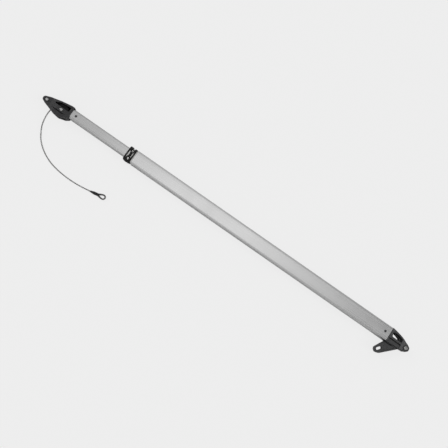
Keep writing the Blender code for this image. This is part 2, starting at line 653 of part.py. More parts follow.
def make_boom_end_fitting():
    body = rounded([
        (-792.3, -1.8, 8.2), (-771, 6.5, 20), (-738, 13.2, 60), (-703, 19.2, 15), (-692.4, 18.6, 1.5),
        (-694.6, 11.5, 3), (-694.2, -10, 6), (-691.2, -16.2, 3), (-703, -25.2, 20), (-724, -31.4, 10),
        (-746, -28.3, 25), (-792.3, -14, 8.2),
    ])
    nose, wide, half = BOOM_NOSE_HALF / MM, BOOM_BODY_HALF / MM, BOOM_BODY_HALF
    side = rounded([
        (-815, -nose, 0), (-764, -nose, 12), (-738, -wide + 0.4, 12), (-680, -wide, 0),
        (-680, wide, 0), (-738, wide - 0.4, 12), (-764, nose, 12), (-815, nose, 0),
    ])
    window = rounded([
        (-759, -1.2, 2), (-738, 8.8, 20), (-706, 12.3, 6), (-701.7, 11, 2), (-702.4, -2.2, 2),
        (-734, -2.2, 10),
    ])
    shelf = rounded([(-763, -15.4, 1.5), (-706, -16.4, 4), (-706, -40, 0), (-763, -40, 0)])
    shelf_groove = rounded([(-759, -16.1, 0.8), (-714, -16.9, 0.8), (-714, -19, 0.8), (-759, -18, 0.8)])
    bay = rounded([
        (-820, -60, 0), (-700, -60, 0), (-701, -9.3, 0), (-701.5, 12.4, 10), (-724, 12.4, 0),
        (-744, 9, 20), (-763, -1, 6), (-766, 30, 0), (-820, 30, 0),
    ])
    made = prism("boom_end_fitting", [body], MID - half, MID + half, finish=CASTING, parent=inner_frame)
    profile = prism("boom_side_profile", [side], -60 * MM, 60 * MM, "Y")
    profile.location.z += MID
    combine(made, profile, "INTERSECT")
    for up in (1, -1):
        cut(
            made,
            recess(f"boom_shelf_{up}", shelf, half - 2 * MM, up),
            recess(f"boom_shelf_groove_{up}", shelf_groove, half - 3.8 * MM, up),
        )
    cut(made, prism("tube_socket", [socket_outline()], INNER_START - GAP, INNER_START + 40 * MM, "X"))
    plug = plug_outline(INNER_HEIGHT, INNER_THICKNESS, INNER_CORNER)
    join(
        made,
        prism("boom_plug", [plug], -712 * MM, -664 * MM, "X"),
        rod("axle_boss", 8 * MM, half - 3 * MM, half + 0.6 * MM, SHEAVE_AXIS),
    )
    cut(
        made,
        prism("sheave_bay", [bay], MID - BAY_HALF, MID + BAY_HALF),
        prism("near_window", [window], MID, MID + 30 * MM),
        recess("far_recess", window, half - 2 * MM, -1),
        wire_channel("plug_wire_channel", -712 * MM, -660 * MM),
        rod("boom_pin_bore", PIN_BORE, -20 * MM, 20 * MM, BOOM_PIN),
        rod("axle_bore", AXLE_RADIUS + GAP, -20 * MM, 20 * MM, SHEAVE_AXIS),
        screw_hole(BOOM_SCREW_X, 0, INNER_THICKNESS / 2, "boom_plug_screw_cutter"),
    )


def make_sheave():
    rim, half, bearing = SHEAVE_RIM, SHEAVE_HALF, 7 * MM
    web = half - 1.2 * MM
    groove = WIRE_RADIUS + GAP
    arc = []
    for degrees in (75, 45, 15, -15, -45, -75):
        angle = math.radians(degrees)
        arc.append((SHEAVE_WIRE_RADIUS - groove * math.cos(angle), groove * math.sin(angle)))
    turned("sheave", [
        (rim - 0.5 * MM, half), (rim, half - 1 * MM), (rim, 3 * MM), *arc, (rim, -3 * MM),
        (rim, 1 * MM - half), (rim - 0.5 * MM, -half), (14 * MM, -half), (13 * MM, -web),
        (10 * MM, -web), (9 * MM, -half), (bearing, -half), (bearing, half), (9 * MM, half),
        (10 * MM, web), (13 * MM, web), (14 * MM, half),
    ], SHEAVE_AXIS, finish=BLACK_ACETAL, parent=sheave_frame, ring=True, segments=28)
    bore, outside = AXLE_RADIUS + GAP, bearing - GAP
    turned("sheave_bearing", [
        (outside, half), (outside, -half), (bore, -half), (bore, half),
    ], SHEAVE_AXIS, finish=BRONZE, parent=sheave_frame, ring=True)


def make_sheave_axle():
    top, low = BOOM_BODY_HALF + 0.6 * MM + GAP, -BOOM_BODY_HALF - 1.6 * MM
    clip = -BOOM_BODY_HALF - GAP
    turned("sheave_axle", [
        (0, top + 1.4 * MM), (4 * MM, top + 1.4 * MM), (4.7 * MM, top + 0.7 * MM), (4.7 * MM, top),
        (AXLE_RADIUS, top), (AXLE_RADIUS, clip), (3.2 * MM, clip), (3.2 * MM, clip - 0.9 * MM),
        (AXLE_RADIUS, clip - 0.9 * MM), (AXLE_RADIUS, low), (0, low),
    ], SHEAVE_AXIS, finish=STEEL, parent=inner_frame)
    ring = [circle(6 * MM, SHEAVE_AXIS[:2]), circle(3.5 * MM, SHEAVE_AXIS[:2])]
    floor = MID + clip - 0.75 * MM
    made = prism("sheave_axle_clip", ring, floor, floor + 0.6 * MM, "Z", STEEL, inner_frame)
    gap = rectangle(3 * MM, 10 * MM, 0, (SHEAVE_AXIS.x, SHEAVE_AXIS.y - 6 * MM))
    cut(made, prism("clip_mouth", [gap], -5 * MM, MID))


# ---------------------------------------------------------------- wire over the sheave, and its tail

def make_wire():
    centre = SHEAVE_AXIS + Vector((0, SHEAVE_WIRE_RADIUS - WIRE_SLACK_BEND, 0))
    over = []
    for k in range(13):
        angle = math.radians(90 + 88 * k / 12)
        over.append(centre + Vector((math.cos(angle), math.sin(angle), 0)) * WIRE_SLACK_BEND)
    tail = smooth_route([Vector(point) * MM for point in WIRE_TAIL_ROUTE], WIRE_TAIL_STEP)
    over.append(tail[0] + Vector((0, GAP, 0)))
    cord("wire_over_sheave", over, WIRE_RADIUS, WIRE_ROPE, inner_frame)
    cord("wire_tail", tail, WIRE_RADIUS, WIRE_ROPE, inner_frame)


def on_sleeve(along, aside=0.0):
    """The place this far along the sleeve's axis from its tip, and this far to its side."""
    rise = math.sin(SLEEVE_RISE) * min(along, SLEEVE_LENGTH)
    heading = Vector((math.cos(SLEEVE_HEADING), math.sin(SLEEVE_HEADING), 0))
    left = Vector((-heading.y, heading.x, 0))
    return SLEEVE_START + heading * along + left * aside + Vector((0, 0, rise))


def turn_to_sleeve(piece):
    """Moves a piece turned about Z at the origin so that its axis is the sleeve's, tip at the origin."""
    aim = Matrix.Rotation(SLEEVE_HEADING, 4, "Z") @ Matrix.Rotation(math.pi / 2 - SLEEVE_RISE, 4, "Y")
    piece.matrix_world = Matrix.Translation(SLEEVE_START) @ aim


def make_sleeve_and_ferrule():
    bore, end = WIRE_RADIUS + GAP, SLEEVE_LENGTH
    pieces = [
        turned("ferrule_sleeve", [
            (SLEEVE_BASE - 0.6 * MM, end), (SLEEVE_BASE, end - 1 * MM), (SLEEVE_BASE, 20 * MM),
            (SLEEVE_TIP, 0), (bore, 0), (bore, 8.5 * MM), (3.9 * MM, 12 * MM), (3.9 * MM, end),
        ], Vector(), finish=SHRINK_TUBE, ring=True),
        turned("wire_ferrule", [
            (0, end - 0.5 * MM), (3.5 * MM, end - 0.5 * MM), (3.5 * MM, 13 * MM),
            (2.4 * MM, 12 * MM), (0, 12 * MM),
        ], Vector(), finish=STEEL),
    ]
    for piece in pieces:
        turn_to_sleeve(piece)
        bpy.context.view_layer.update()
        piece.parent = inner_frame
        piece.matrix_parent_inverse = Matrix.Translation(inner_frame.location).inverted()


def eye_route(bend, start_aside, steps=14):
    """A teardrop from one side of the sleeve's end, round the far bend, and back to the other side."""
    first = SLEEVE_LENGTH + GAP
    centre = first + EYE_LENGTH
    shoulder = math.radians(105)
    points = []
    for k in range(4):
        t = k / 4
        aside = start_aside + (bend * math.sin(shoulder) - start_aside) * (3 * t**2 - 2 * t**3)
        points.append((first + (centre + bend * math.cos(shoulder) - first) * t, aside))
    for k in range(steps + 1):
        angle = shoulder * (1 - 2 * k / steps)
        points.append((centre + bend * math.cos(angle), bend * math.sin(angle)))
    points += [(along, -aside) for along, aside in reversed(points[:4])]
    return points


def make_eye():
    """The wire's eye, and the grooved thimble inside it."""
    aside = WIRE_RADIUS + GAP
    route = [on_sleeve(*point) for point in eye_route(EYE_BEND, aside)]
    cord("wire_eye_loop", route, WIRE_RADIUS, WIRE_ROPE, inner_frame)
    height = on_sleeve(SLEEVE_LENGTH).z
    outlines = []
    for grow in (1.2 * MM - aside, -0.9 * MM - aside):
        shape = eye_route(EYE_BEND + grow, max(aside + grow, 0.35 * MM))
        for end in (0, -1):
            shape[end] = (shape[end][0] + 2.4 * MM, shape[end][1])
        outlines.append([on_sleeve(*point).xy for point in shape])
    low, high = height - 2.9 * MM, height + 2.9 * MM
    made = prism("thimble", [outlines[0]], low, high, finish=STEEL, parent=inner_frame)
    cut(
        made,
        prism("thimble_hole", [outlines[1]], low - 7 * MM, high + 7 * MM),
        cord("thimble_groove", route, aside),
    )


make_outer_tube()
make_mast_end_fitting()
make_clevis_pin(
    "mast_clevis_pin", "mast_pin_ring", MAST_PIN, 6 * MM, MAST_FORK_HALF, 165, mast_pin_frame
)
make_gas_spring()
make_spring_spacers()
make_wire_anchor()
make_guide_bush()
make_lashing()
make_inner_tube()
make_slider()
make_boom_end_fitting()
make_clevis_pin(
    "boom_clevis_pin", "boom_pin_ring", BOOM_PIN, 5 * MM, BOOM_NOSE_HALF, 10, boom_pin_frame
)
make_sheave()
make_sheave_axle()
make_wire()
make_sleeve_and_ferrule()
make_eye()
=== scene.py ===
"""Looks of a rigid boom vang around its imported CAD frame: fine surfaces, materials, light and camera.

Frame, in metres: +X along the tube towards the mast end, +Y away from the tackle lug, +Z up.
"""

import json
import math

import bmesh
import bpy
import numpy as np
from mathutils import Matrix, Vector


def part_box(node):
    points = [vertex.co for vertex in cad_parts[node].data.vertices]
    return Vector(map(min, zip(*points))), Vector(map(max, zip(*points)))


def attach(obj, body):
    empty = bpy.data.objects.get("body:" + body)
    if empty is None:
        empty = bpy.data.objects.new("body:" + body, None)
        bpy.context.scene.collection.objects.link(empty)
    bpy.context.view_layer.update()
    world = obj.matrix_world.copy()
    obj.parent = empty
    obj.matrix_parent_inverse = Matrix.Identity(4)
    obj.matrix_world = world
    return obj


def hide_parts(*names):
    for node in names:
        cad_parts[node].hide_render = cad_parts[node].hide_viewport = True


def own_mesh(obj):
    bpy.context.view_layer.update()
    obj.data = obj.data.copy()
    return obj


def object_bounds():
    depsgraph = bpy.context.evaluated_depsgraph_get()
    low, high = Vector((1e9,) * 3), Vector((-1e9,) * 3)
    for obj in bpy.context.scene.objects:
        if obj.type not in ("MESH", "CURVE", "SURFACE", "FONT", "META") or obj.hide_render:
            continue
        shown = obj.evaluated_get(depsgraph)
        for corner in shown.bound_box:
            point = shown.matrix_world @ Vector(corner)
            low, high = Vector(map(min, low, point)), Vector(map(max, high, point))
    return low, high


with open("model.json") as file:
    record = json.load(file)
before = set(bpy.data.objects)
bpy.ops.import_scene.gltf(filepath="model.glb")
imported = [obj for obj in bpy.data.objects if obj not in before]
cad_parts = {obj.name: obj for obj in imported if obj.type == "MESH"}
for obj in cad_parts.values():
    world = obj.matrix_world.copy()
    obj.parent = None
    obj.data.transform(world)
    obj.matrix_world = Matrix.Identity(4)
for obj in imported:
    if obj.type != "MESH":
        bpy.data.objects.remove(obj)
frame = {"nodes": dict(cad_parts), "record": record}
cad_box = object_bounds()
nodes = frame["nodes"]
scene = bpy.context.scene

MM = 0.001
MID = 0.019  # height of the strut's middle plane
OUTER_END = 0.464  # half the outer tube's length
MAST_PIN = Vector((0.528, -0.0064, MID))
BOOM_PIN = Vector((-0.778, -0.0077, MID))
SHEAVE_AXIS = Vector((-0.724, -0.0093, MID))
SHEAVE_WIRE_RADIUS = 0.019
WIRE_Y = SHEAVE_AXIS.y + SHEAVE_WIRE_RADIUS
WIRE_RADIUS = 0.002
WIRE_LAY = 0.024  # length in which a strand goes once round the rope
WIRE_LEAVING_BEND = 0.030  # radius of the wire's bend from the sheave to where it comes out
CORD_RADIUS = 0.002
GAP = 0.0003  # between pieces that touch
SLEEVE_START = Vector((-0.5202, -0.1581, 0.0029))
SLEEVE_HEADING = math.radians(9.7)
SLEEVE_RISE = math.radians(3.2)
SLEEVE_LENGTH = 0.032
EYE_LENGTH = 0.0153  # from the sleeve to the centre of the eye's far bend
EYE_BEND = 0.0068

# The free wire's route: the same points as its CAD solid
WIRE_TAIL_ROUTE = [
    (-0.7544, -0.0255, 0.019), (-0.7549, -0.038, 0.0178), (-0.7544, -0.052, 0.0146),
    (-0.7516, -0.0715, 0.0086), (-0.7469, -0.0845, 0.005), (-0.7403, -0.0969, 0.0028),
    (-0.7318, -0.1093, 0.0021), (-0.7206, -0.1214, 0.0021), (-0.7026, -0.1353, 0.0021),
    (-0.6824, -0.1465, 0.0021), (-0.6581, -0.1555, 0.0021), (-0.6291, -0.1612, 0.0021),
    (-0.5942, -0.164, 0.0021), (-0.5627, -0.1632, 0.0021), (-0.5409, -0.1611, 0.0025),
    (-0.5206, -0.1582, 0.0029),
]

# Camera
CAMERA_TARGET = Vector((-0.130, -0.0096, 0.019))
CAMERA_DISTANCE = 1.874
CAMERA_ELEVATION = math.radians(80.3)
CAMERA_ROLL = math.radians(34.82)

# Light: a soft strip overhead, whose reflection fades along the tube, and dimmer surroundings
STRIP_CENTRE = (-0.022, -0.05)  # x and y of a direction of length 1
STRIP_SIZE = (0.262, 0.85)
STRIP_STRENGTH = 1.62
SURROUND = (0.6, 0.14)  # radiance at the horizon and at the zenith
FLOOR_GLOW = 0.9  # share of the floor's look that doesn't take shadows
FLOOR_GREY = 0.873
SUN_ELEVATION, SUN_SPREAD = 36, 30  # degrees


# ---------------------------------------------------------------- camera

def make_camera():
    sine, cosine = math.sin(CAMERA_ELEVATION), math.cos(CAMERA_ELEVATION)
    back = Vector((0, -cosine, sine))
    across = Vector((0, sine, cosine))
    right = math.cos(CAMERA_ROLL) * Vector((1, 0, 0)) + math.sin(CAMERA_ROLL) * across
    up = -math.sin(CAMERA_ROLL) * Vector((1, 0, 0)) + math.cos(CAMERA_ROLL) * across
    data = bpy.data.cameras.new("camera")
    data.lens = 50
    data.sensor_width = 36
    data.clip_start = 0.05
    data.clip_end = 100
    camera = bpy.data.objects.new("camera", data)
    scene.collection.objects.link(camera)
    place = CAMERA_TARGET + back * CAMERA_DISTANCE
    turn = Matrix((right, up, back)).transposed()
    camera.matrix_world = Matrix.Translation(place) @ turn.to_4x4()
    scene.camera = camera


# ---------------------------------------------------------------- materials

class Nodes:
    """A node tree, built a node at a time."""

    def __init__(self, tree):
        self.tree = tree

    def add(self, kind, inputs=(), **settings):
        """A node of this kind; inputs pairs a socket with a value or with another node's output."""
        node = self.tree.nodes.new(f"ShaderNode{kind}")
        for setting, value in settings.items():
            setattr(node, setting, value)
        for socket, value in dict(inputs).items():
            if isinstance(value, bpy.types.NodeSocket):
                self.tree.links.new(value, node.inputs[socket])
            else:
                node.inputs[socket].default_value = value
        return node

    def math(self, operation, first, second=0.0):
        return self.add("Math", {0: first, 1: second}, operation=operation).outputs[0]

    def between(self, factor, low, high, start=0.0, end=1.0):
        """A number that goes from low to high as factor goes from start to end."""
        inputs = {"Value": factor, "From Min": start, "From Max": end, "To Min": low, "To Max": high}
        return self.add("MapRange", inputs).outputs["Result"]


class Look(Nodes):
    """A material, with the nodes that feed its Principled shader."""

    def __init__(self, name, colour, roughness, metallic=0.0, **sockets):
        self.material = bpy.data.materials.new(name)
        self.material.use_nodes = True
        super().__init__(self.material.node_tree)
        self.shader = self.tree.nodes["Principled BSDF"]
        self.material.diffuse_color = (*colour, 1)
        self.set("Base Color", (*colour, 1))
        self.set("Roughness", roughness)
        self.set("Metallic", metallic)
        for socket, value in sockets.items():
            self.set(socket.replace("_", " "), value)

    def set(self, socket, value):
        self.shader.inputs[socket].default_value = value

    def link(self, output, socket):
        self.tree.links.new(output, self.shader.inputs[socket])

    def place(self, scale=(1, 1, 1), source="Object"):
        """Coordinates on the piece, in metres for Object, scaled along each axis."""
        coordinates = self.add("TexCoord").outputs[source]
        return self.add("Mapping", {"Vector": coordinates, "Scale": scale}).outputs["Vector"]

    def noise(self, scale, detail=3.0, roughness=0.5):
        """Noise with features about 1/scale long; scale may be three numbers, for grain."""
        if not isinstance(scale, tuple):
            scale = (scale, scale, scale)
        inputs = {"Vector": self.place(scale), "Scale": 1.0, "Detail": detail, "Roughness": roughness}
        return self.add("TexNoise", inputs).outputs["Fac"]

    def colours(self, factor, *stops):
        """A colour ramp through (position, grey or colour) stops."""
        ramp = self.add("ValToRGB", {"Fac": factor})
        elements = ramp.color_ramp.elements
        while len(elements) < len(stops):
            elements.new(0.5)
        for element, (position, colour) in zip(elements, stops):
            element.position = position
            colour = (colour,) * 3 if isinstance(colour, float) else colour
            element.color = (*colour, 1)
        return ramp.outputs["Color"]

    def mix(self, factor, first, second, blend="MIX"):
        """Two colours mixed, through the Mix node's inputs 6 and 7 and its output 2."""
        inputs = {"Factor": factor}
        for place, value in ((6, first), (7, second)):
            inputs[place] = value if isinstance(value, bpy.types.NodeSocket) else (*value, 1)
        return self.add("Mix", inputs, data_type="RGBA", blend_type=blend).outputs[2]

    def yarns(self, around, length):
        """The phase round a swept piece and along it, for lines that wind round it."""
        parts = self.add("SeparateXYZ", {"Vector": self.place(source="UV")}).outputs
        turns = self.math("MULTIPLY", parts["X"], 2 * math.pi * around)
        along = self.math("MULTIPLY", parts["Y"], 2 * math.pi / length)
        return turns, along

    def bump(self, *layers):
        """Bumps of (height, distance in metres, strength), one over the other."""
        normal = None
        for height, distance, strength in layers:
            inputs = {"Height": height, "Distance": distance, "Strength": strength}
            if normal:
                inputs["Normal"] = normal
            normal = self.add("Bump", inputs).outputs["Normal"]
        self.link(normal, "Normal")


def make_aluminium(name, colour, roughness, wear):
    """Satin anodised extrusion: fine die lines along X, faint blotches and some handling marks."""
    made = Look(name, (colour,) * 3, roughness, 1.0)
    lines = made.noise((1.2, 900, 900), detail=4)
    broad = made.noise((0.7, 160, 160), detail=2)
    blotches = made.noise(14, detail=3)
    marks = made.noise((30, 700, 700), detail=2, roughness=0.65)
    base = made.colours(lines, (0.25, colour * 0.955), (0.75, colour * 1.045))
    base = made.mix(0.5, base, made.colours(broad, (0.3, 0.44), (0.7, 0.56)), "OVERLAY")
    base = made.mix(0.2, base, made.colours(blotches, (0.35, 0.47), (0.65, 0.53)), "OVERLAY")
    scratched = made.between(marks, 0.0, wear, 0.64, 0.74)
    made.link(made.mix(scratched, base, (colour * 1.5,) * 3), "Base Color")
    rough = made.between(lines, roughness - 0.03, roughness + 0.05, 0.3, 0.7)
    rough = made.math("ADD", rough, made.between(blotches, -0.03, 0.03, 0.3, 0.7))
    made.link(made.math("SUBTRACT", rough, made.math("MULTIPLY", scratched, 0.1)), "Roughness")
    made.bump((lines, 0.00006, 0.35), (marks, 0.00005, 0.15))
    return made.material


def make_casting(name, painted_light_factor, shine):
    """Dark painted aluminium casting: fine orange peel, painted shade in its crevices, and convex edges
    lighter, partly paint rubbed thin and partly a painted highlight.
    """
    made = Look(name, (0.024, 0.024, 0.025), 0.5, Specular_IOR_Level=shine)
    grain = made.noise(2600, detail=3, roughness=0.6)
    peel = made.noise(700, detail=2)
    blotches = made.noise(60, detail=4)
    pointed = made.add("NewGeometry").outputs["Pointiness"]
    edges = made.between(pointed, 0.0, 1.0, 0.515, 0.575)
    chips = made.between(made.noise(420, detail=4, roughness=0.7), 0.0, 1.0, 0.42, 0.62)
    rubbed = made.math("MULTIPLY", edges, chips)
    # The paint's colour is scaled here for painted light: one paint, in a lighter copy on the mast end
    # and a darker copy on the boom end.
    low, high = 0.017 * painted_light_factor, 0.026 * painted_light_factor
    base = made.colours(blotches, (0.3, (low, low, low + 0.001)), (0.7, (high, high, high + 0.001)))
    # Convex edges lighter: partly paint rubbed thin, partly a painted highlight along the rims.
    base = made.mix(made.math("MULTIPLY", edges, 0.55), base, (0.06, 0.06, 0.062))
    base = made.mix(made.math("MULTIPLY", rubbed, 0.5), base, (0.17, 0.17, 0.17))
    # Painted shade: ambient occlusion darkens the crevices and dulls their shine.
    hidden = made.add("AmbientOcclusion", {"Distance": 0.0045}, samples=8).outputs["AO"]
    painted_crevice_shade = made.between(hidden, 1.0, 0.0, 0.45, 0.88)
    made.link(made.mix(made.math("MULTIPLY", painted_crevice_shade, 0.9), base, (0.003,) * 3), "Base Color")
    rough = made.between(grain, 0.42, 0.58, 0.25, 0.75)
    made.link(made.math("ADD", rough, made.math("MULTIPLY", painted_crevice_shade, 0.3)), "Roughness")
    made.link(made.between(painted_crevice_shade, shine, 0.05), "Specular IOR Level")
    made.bump((peel, 0.00025, 0.5), (grain, 0.00012, 0.6))
    return made.material


def make_steel(name, colour, roughness, face=None):
    """Stainless steel with fine turning marks and faint smears.

    face is the middle of the head's lit spot, and the two distances from it over which painted shade
    darkens the steel round that spot.
    """
    made = Look(name, colour, roughness, 1.0)
    marks = made.noise(1400, detail=3, roughness=0.6)
    smears = made.noise(220, detail=3)
    dark = tuple(c * 0.86 for c in colour)
    base = made.mix(made.between(smears, 0, 1, 0.35, 0.65), dark, colour)
    # Painted shade: the steel is darkened away from the head's lit spot, so that the spot looks small.
    if face:
        centre, bright, shade_reach = face
        where = made.add("SeparateXYZ", {"Vector": made.place()}).outputs
        x = made.math("SUBTRACT", where["X"], centre.x)
        y = made.math("SUBTRACT", where["Y"], centre.y)
        square = made.math("ADD", made.math("MULTIPLY", x, x), made.math("MULTIPLY", y, y))
        painted_shade = made.between(made.math("SQRT", square), 0, 0.75, bright, shade_reach)
        base = made.mix(painted_shade, base, tuple(c * 0.2 for c in colour))
    made.link(base, "Base Color")
    rough = made.between(smears, roughness * 0.8, roughness * 1.35, 0.3, 0.7)
    made.link(made.math("ADD", rough, made.between(marks, -0.03, 0.03, 0.3, 0.7)), "Roughness")
    made.bump((marks, 0.00004, 0.3))
    return made.material


def make_wire_material(name, shine):
    """Stainless wire rope: the single wires in each strand with painted shade in the valleys between
    them, and random grey grime.
    """
    made = Look(name, (0.5, 0.5, 0.5), 0.34, 1.0)
    turns, along = made.yarns(18, 0.004)
    wires = made.math("SINE", made.math("ADD", turns, along))
    grime = made.noise(300, detail=3)
    # Painted shade: darker in the valleys between the single wires.
    base = made.colours(made.between(wires, 0, 1, -1, 1), (0.0, 0.2 * shine), (0.55, 0.5 * shine))
    grey = tuple(c * shine for c in (0.28, 0.27, 0.25))
    made.link(made.mix(made.between(grime, 0, 0.5, 0.45, 0.7), base, grey), "Base Color")
    made.link(made.between(grime, 0.27, 0.45, 0.3, 0.7), "Roughness")
    made.bump((wires, 0.00012, 0.6))
    return made.material


def make_cord_material():
    """Black braided shock cord cover: crossing yarns with a soft sheen."""
    made = Look(
        "black_braided_cord", (0.014, 0.014, 0.015), 0.72,
        Sheen_Weight=0.05, Sheen_Roughness=0.5, Specular_IOR_Level=0.2,
    )
    turns, along = made.yarns(8, 0.0024)
    one = made.math("SINE", made.math("ADD", turns, along))
    other = made.math("SINE", made.math("SUBTRACT", turns, along))
    yarns = made.math("MULTIPLY", one, other)
    fuzz = made.noise(4000, detail=3, roughness=0.7)
    base = made.colours(made.between(yarns, 0, 1, -1, 1), (0.2, 0.004), (0.9, 0.014))
    made.link(made.mix(made.between(fuzz, 0, 0.6, 0.5, 0.8), base, (0.02, 0.02, 0.021)), "Base Color")
    made.link(made.between(fuzz, 0.62, 0.85, 0.3, 0.7), "Roughness")
    made.bump((yarns, 0.00022, 0.8), (fuzz, 0.00008, 0.5))
    return made.material


def make_plastic(name, colour, roughness, grain=1500, spread=0.12, **sockets):
    """Moulded or turned plastic: faint flow marks and a fine grain."""
    made = Look(name, colour, roughness, **sockets)
    fine = made.noise(grain, detail=3)
    flow = made.noise((60, 180, 180), detail=3)
    low = tuple(c * (1 - spread) for c in colour)
    high = tuple(c * (1 + spread) for c in colour)
    made.link(made.mix(made.between(flow, 0, 1, 0.35, 0.65), low, high), "Base Color")
    made.link(made.between(fine, roughness - 0.07, roughness + 0.07, 0.3, 0.7), "Roughness")
    made.bump((fine, 0.00006, 0.4), (flow, 0.0001, 0.12))
    return made.material


def make_metal(name, colour, roughness, metallic):
    """Painted, blackened or bare metal of a small part."""
    made = Look(name, colour, roughness, metallic)
    fine = made.noise(1800, detail=3)
    worn = made.noise(250, detail=4, roughness=0.65)
    bare = tuple(c * 1.5 for c in colour)
    made.link(made.mix(made.between(worn, 0, 1, 0.45, 0.75), colour, bare), "Base Color")
    made.link(made.between(fine, roughness - 0.06, roughness + 0.08, 0.3, 0.7), "Roughness")
    made.bump((fine, 0.00005, 0.4))
    return made.material


def make_floor_material():
    """Pale and plain: most of what is seen of it is an even glow, so that shadows stay faint."""
    made = Look("pale_floor", (0.68,) * 3, 0.9, Specular_IOR_Level=0.1)
    glow = made.add("Emission", {"Color": (FLOOR_GREY,) * 3 + (1,)}).outputs[0]
    seen = made.add("LightPath").outputs["Is Camera Ray"]
    share = made.math("MULTIPLY", seen, FLOOR_GLOW)
    surface = made.add("MixShader", {0: share, 1: made.shader.outputs[0], 2: glow})
    made.tree.links.new(surface.outputs[0], made.tree.nodes["Material Output"].inputs["Surface"])
    return made.material


# By the record's material slots
LOOKS = {
    "anodised_aluminium": make_aluminium("satin_anodised_aluminium", 0.505, 0.29, 0.12),
    # Painted light: the mast end's copy of the casting paint is lighter and shinier.
    "dark_casting": make_casting("mast_casting_paint_lit_copy", 1.15, 0.46),
    "stainless_steel": make_steel("polished_stainless", (0.78, 0.77, 0.75), 0.2),
    "wire_rope": make_wire_material("stainless_wire_rope", 1.0),
    "dark_screw": make_metal("dark_screw_steel", (0.06, 0.06, 0.062), 0.42, 0.7),
    "acetal": make_plastic("pale_acetal", (0.72, 0.72, 0.7), 0.42, spread=0.03),
    "black_acetal": make_plastic(
        "black_acetal_plastic", (0.008, 0.008, 0.008), 0.6, Specular_IOR_Level=0.12
    ),
    "shock_cord": make_cord_material(),
    "shrink_tube": make_plastic(
        "black_shrink_tube", (0.008, 0.008, 0.009), 0.4, grain=900, Specular_IOR_Level=0.25
    ),
    "black_painted_steel": make_metal("black_painted_cylinder", (0.015, 0.015, 0.016), 0.3, 0.0),
    "bronze": make_metal("bearing_bronze", (0.5, 0.33, 0.15), 0.35, 1.0),
}
# Painted shade: a much darker copy of the wire rope's look, for the wire over the sheave and inside the
# tubes, where it lies in shade.
SHADED_WIRE = make_wire_material("shaded_wire_rope", 0.15)

# Pieces that look unlike the rest of their slot
OWN_LOOKS = {
    # The pin heads' looks carry painted shade round the head's lit spot.
    "mast_clevis_pin_fine": make_steel(
        "mast_pin_steel", (0.32, 0.32, 0.315), 0.33, (MAST_PIN, 0.0042, 0.0066)
    ),
    "boom_clevis_pin_fine": make_steel(
        "boom_pin_steel", (0.4, 0.4, 0.395), 0.33, (BOOM_PIN, 0.0022, 0.0044)
    ),
    "sheave_axle_pin": make_steel("turned_axle_steel", (0.33, 0.33, 0.325), 0.33),
    # The thimble and the eye: darker copies of the stainless steel and wire rope looks.
    "eye_thimble": make_steel("thimble_steel", (0.26, 0.26, 0.255), 0.3),
    "wire_eye": make_wire_material("darker_wire_rope", 0.42),
    "sheave_wire": SHADED_WIRE,
    "inner_wire": SHADED_WIRE,
    # Painted shade: the boom end's copy of the same casting paint is darker and less shiny.
    "boom_casting": make_casting("boom_casting_paint_shaded_copy", 0.8, 0.3),
    "inner_tube_extrusion": make_aluminium("satin_anodised_inner_tube", 0.45, 0.25, 0.3),
}

SLOTS = {part["node"]: part["material_slot"] for part in frame["record"]["subparts"]}
BODIES = frame["record"]["behaviour"]["bodies"]
BODY_OF = {name: body for body, names in BODIES.items() for name in names}


# ---------------------------------------------------------------- meshes

def smooth_shaded(mesh, degrees=32):
    mesh.shade_smooth()
    mesh.set_sharp_from_angle(angle=math.radians(degrees))


def piece(name, mesh, node, degrees=32):
    """An object of this mesh that stands for the CAD node and moves with its body."""
    made = bpy.data.objects.new(name, mesh)
    scene.collection.objects.link(made)
    smooth_shaded(mesh, degrees)
    slot = SLOTS[node]
    mesh.materials.clear()
    mesh.materials.append(OWN_LOOKS.get(name) or LOOKS[slot])
    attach(made, BODY_OF[node])
    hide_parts(node)
    return made


def skin(rings, loop=False, caps=True, lengths=None):
    """A bmesh through rings of points, with UVs: round the ring, and along in metres."""
    shell = bmesh.new()
    layer = shell.loops.layers.uv.new("UVMap")
    count = len(rings[0])
    made = [[shell.verts.new(point) for point in ring] for ring in rings]
    if lengths is None:
        middles = [sum((Vector(p) for p in ring), Vector()) / count for ring in rings]
        lengths = [0.0]
        for before, after in zip(middles, middles[1:]):
            lengths.append(lengths[-1] + (after - before).length)
    total = len(rings) if loop else len(rings) - 1
    for i in range(total):
        j = (i + 1) % len(rings)
        far = lengths[j] if j else lengths[i] + (lengths[1] - lengths[0])
        for k in range(count):
            m = (k + 1) % count
            face = shell.faces.new((made[i][k], made[i][m], made[j][m], made[j][k]))
            spots = ((k, lengths[i]), (k + 1, lengths[i]), (k + 1, far), (k, far))
            for corner, (around, along) in zip(face.loops, spots):
                corner[layer].uv = (around / count, along)
    if caps and not loop:
        shell.faces.new(list(reversed(made[0])))
        shell.faces.new(made[-1])
    return shell


def to_mesh(shell, name):
    bmesh.ops.remove_doubles(shell, verts=shell.verts, dist=1e-6)
    bmesh.ops.recalc_face_normals(shell, faces=shell.faces)
    mesh = bpy.data.meshes.new(name)
    shell.to_mesh(mesh)
    shell.free()
    return mesh


def joined(name, shells):
    """One mesh of several bmeshes."""
    whole = bmesh.new()
    for shell in shells:
        mesh = to_mesh(shell, "part")
        whole.from_mesh(mesh)
        bpy.data.meshes.remove(mesh)
    mesh = bpy.data.meshes.new(name)
    whole.to_mesh(mesh)
    whole.free()
    return mesh


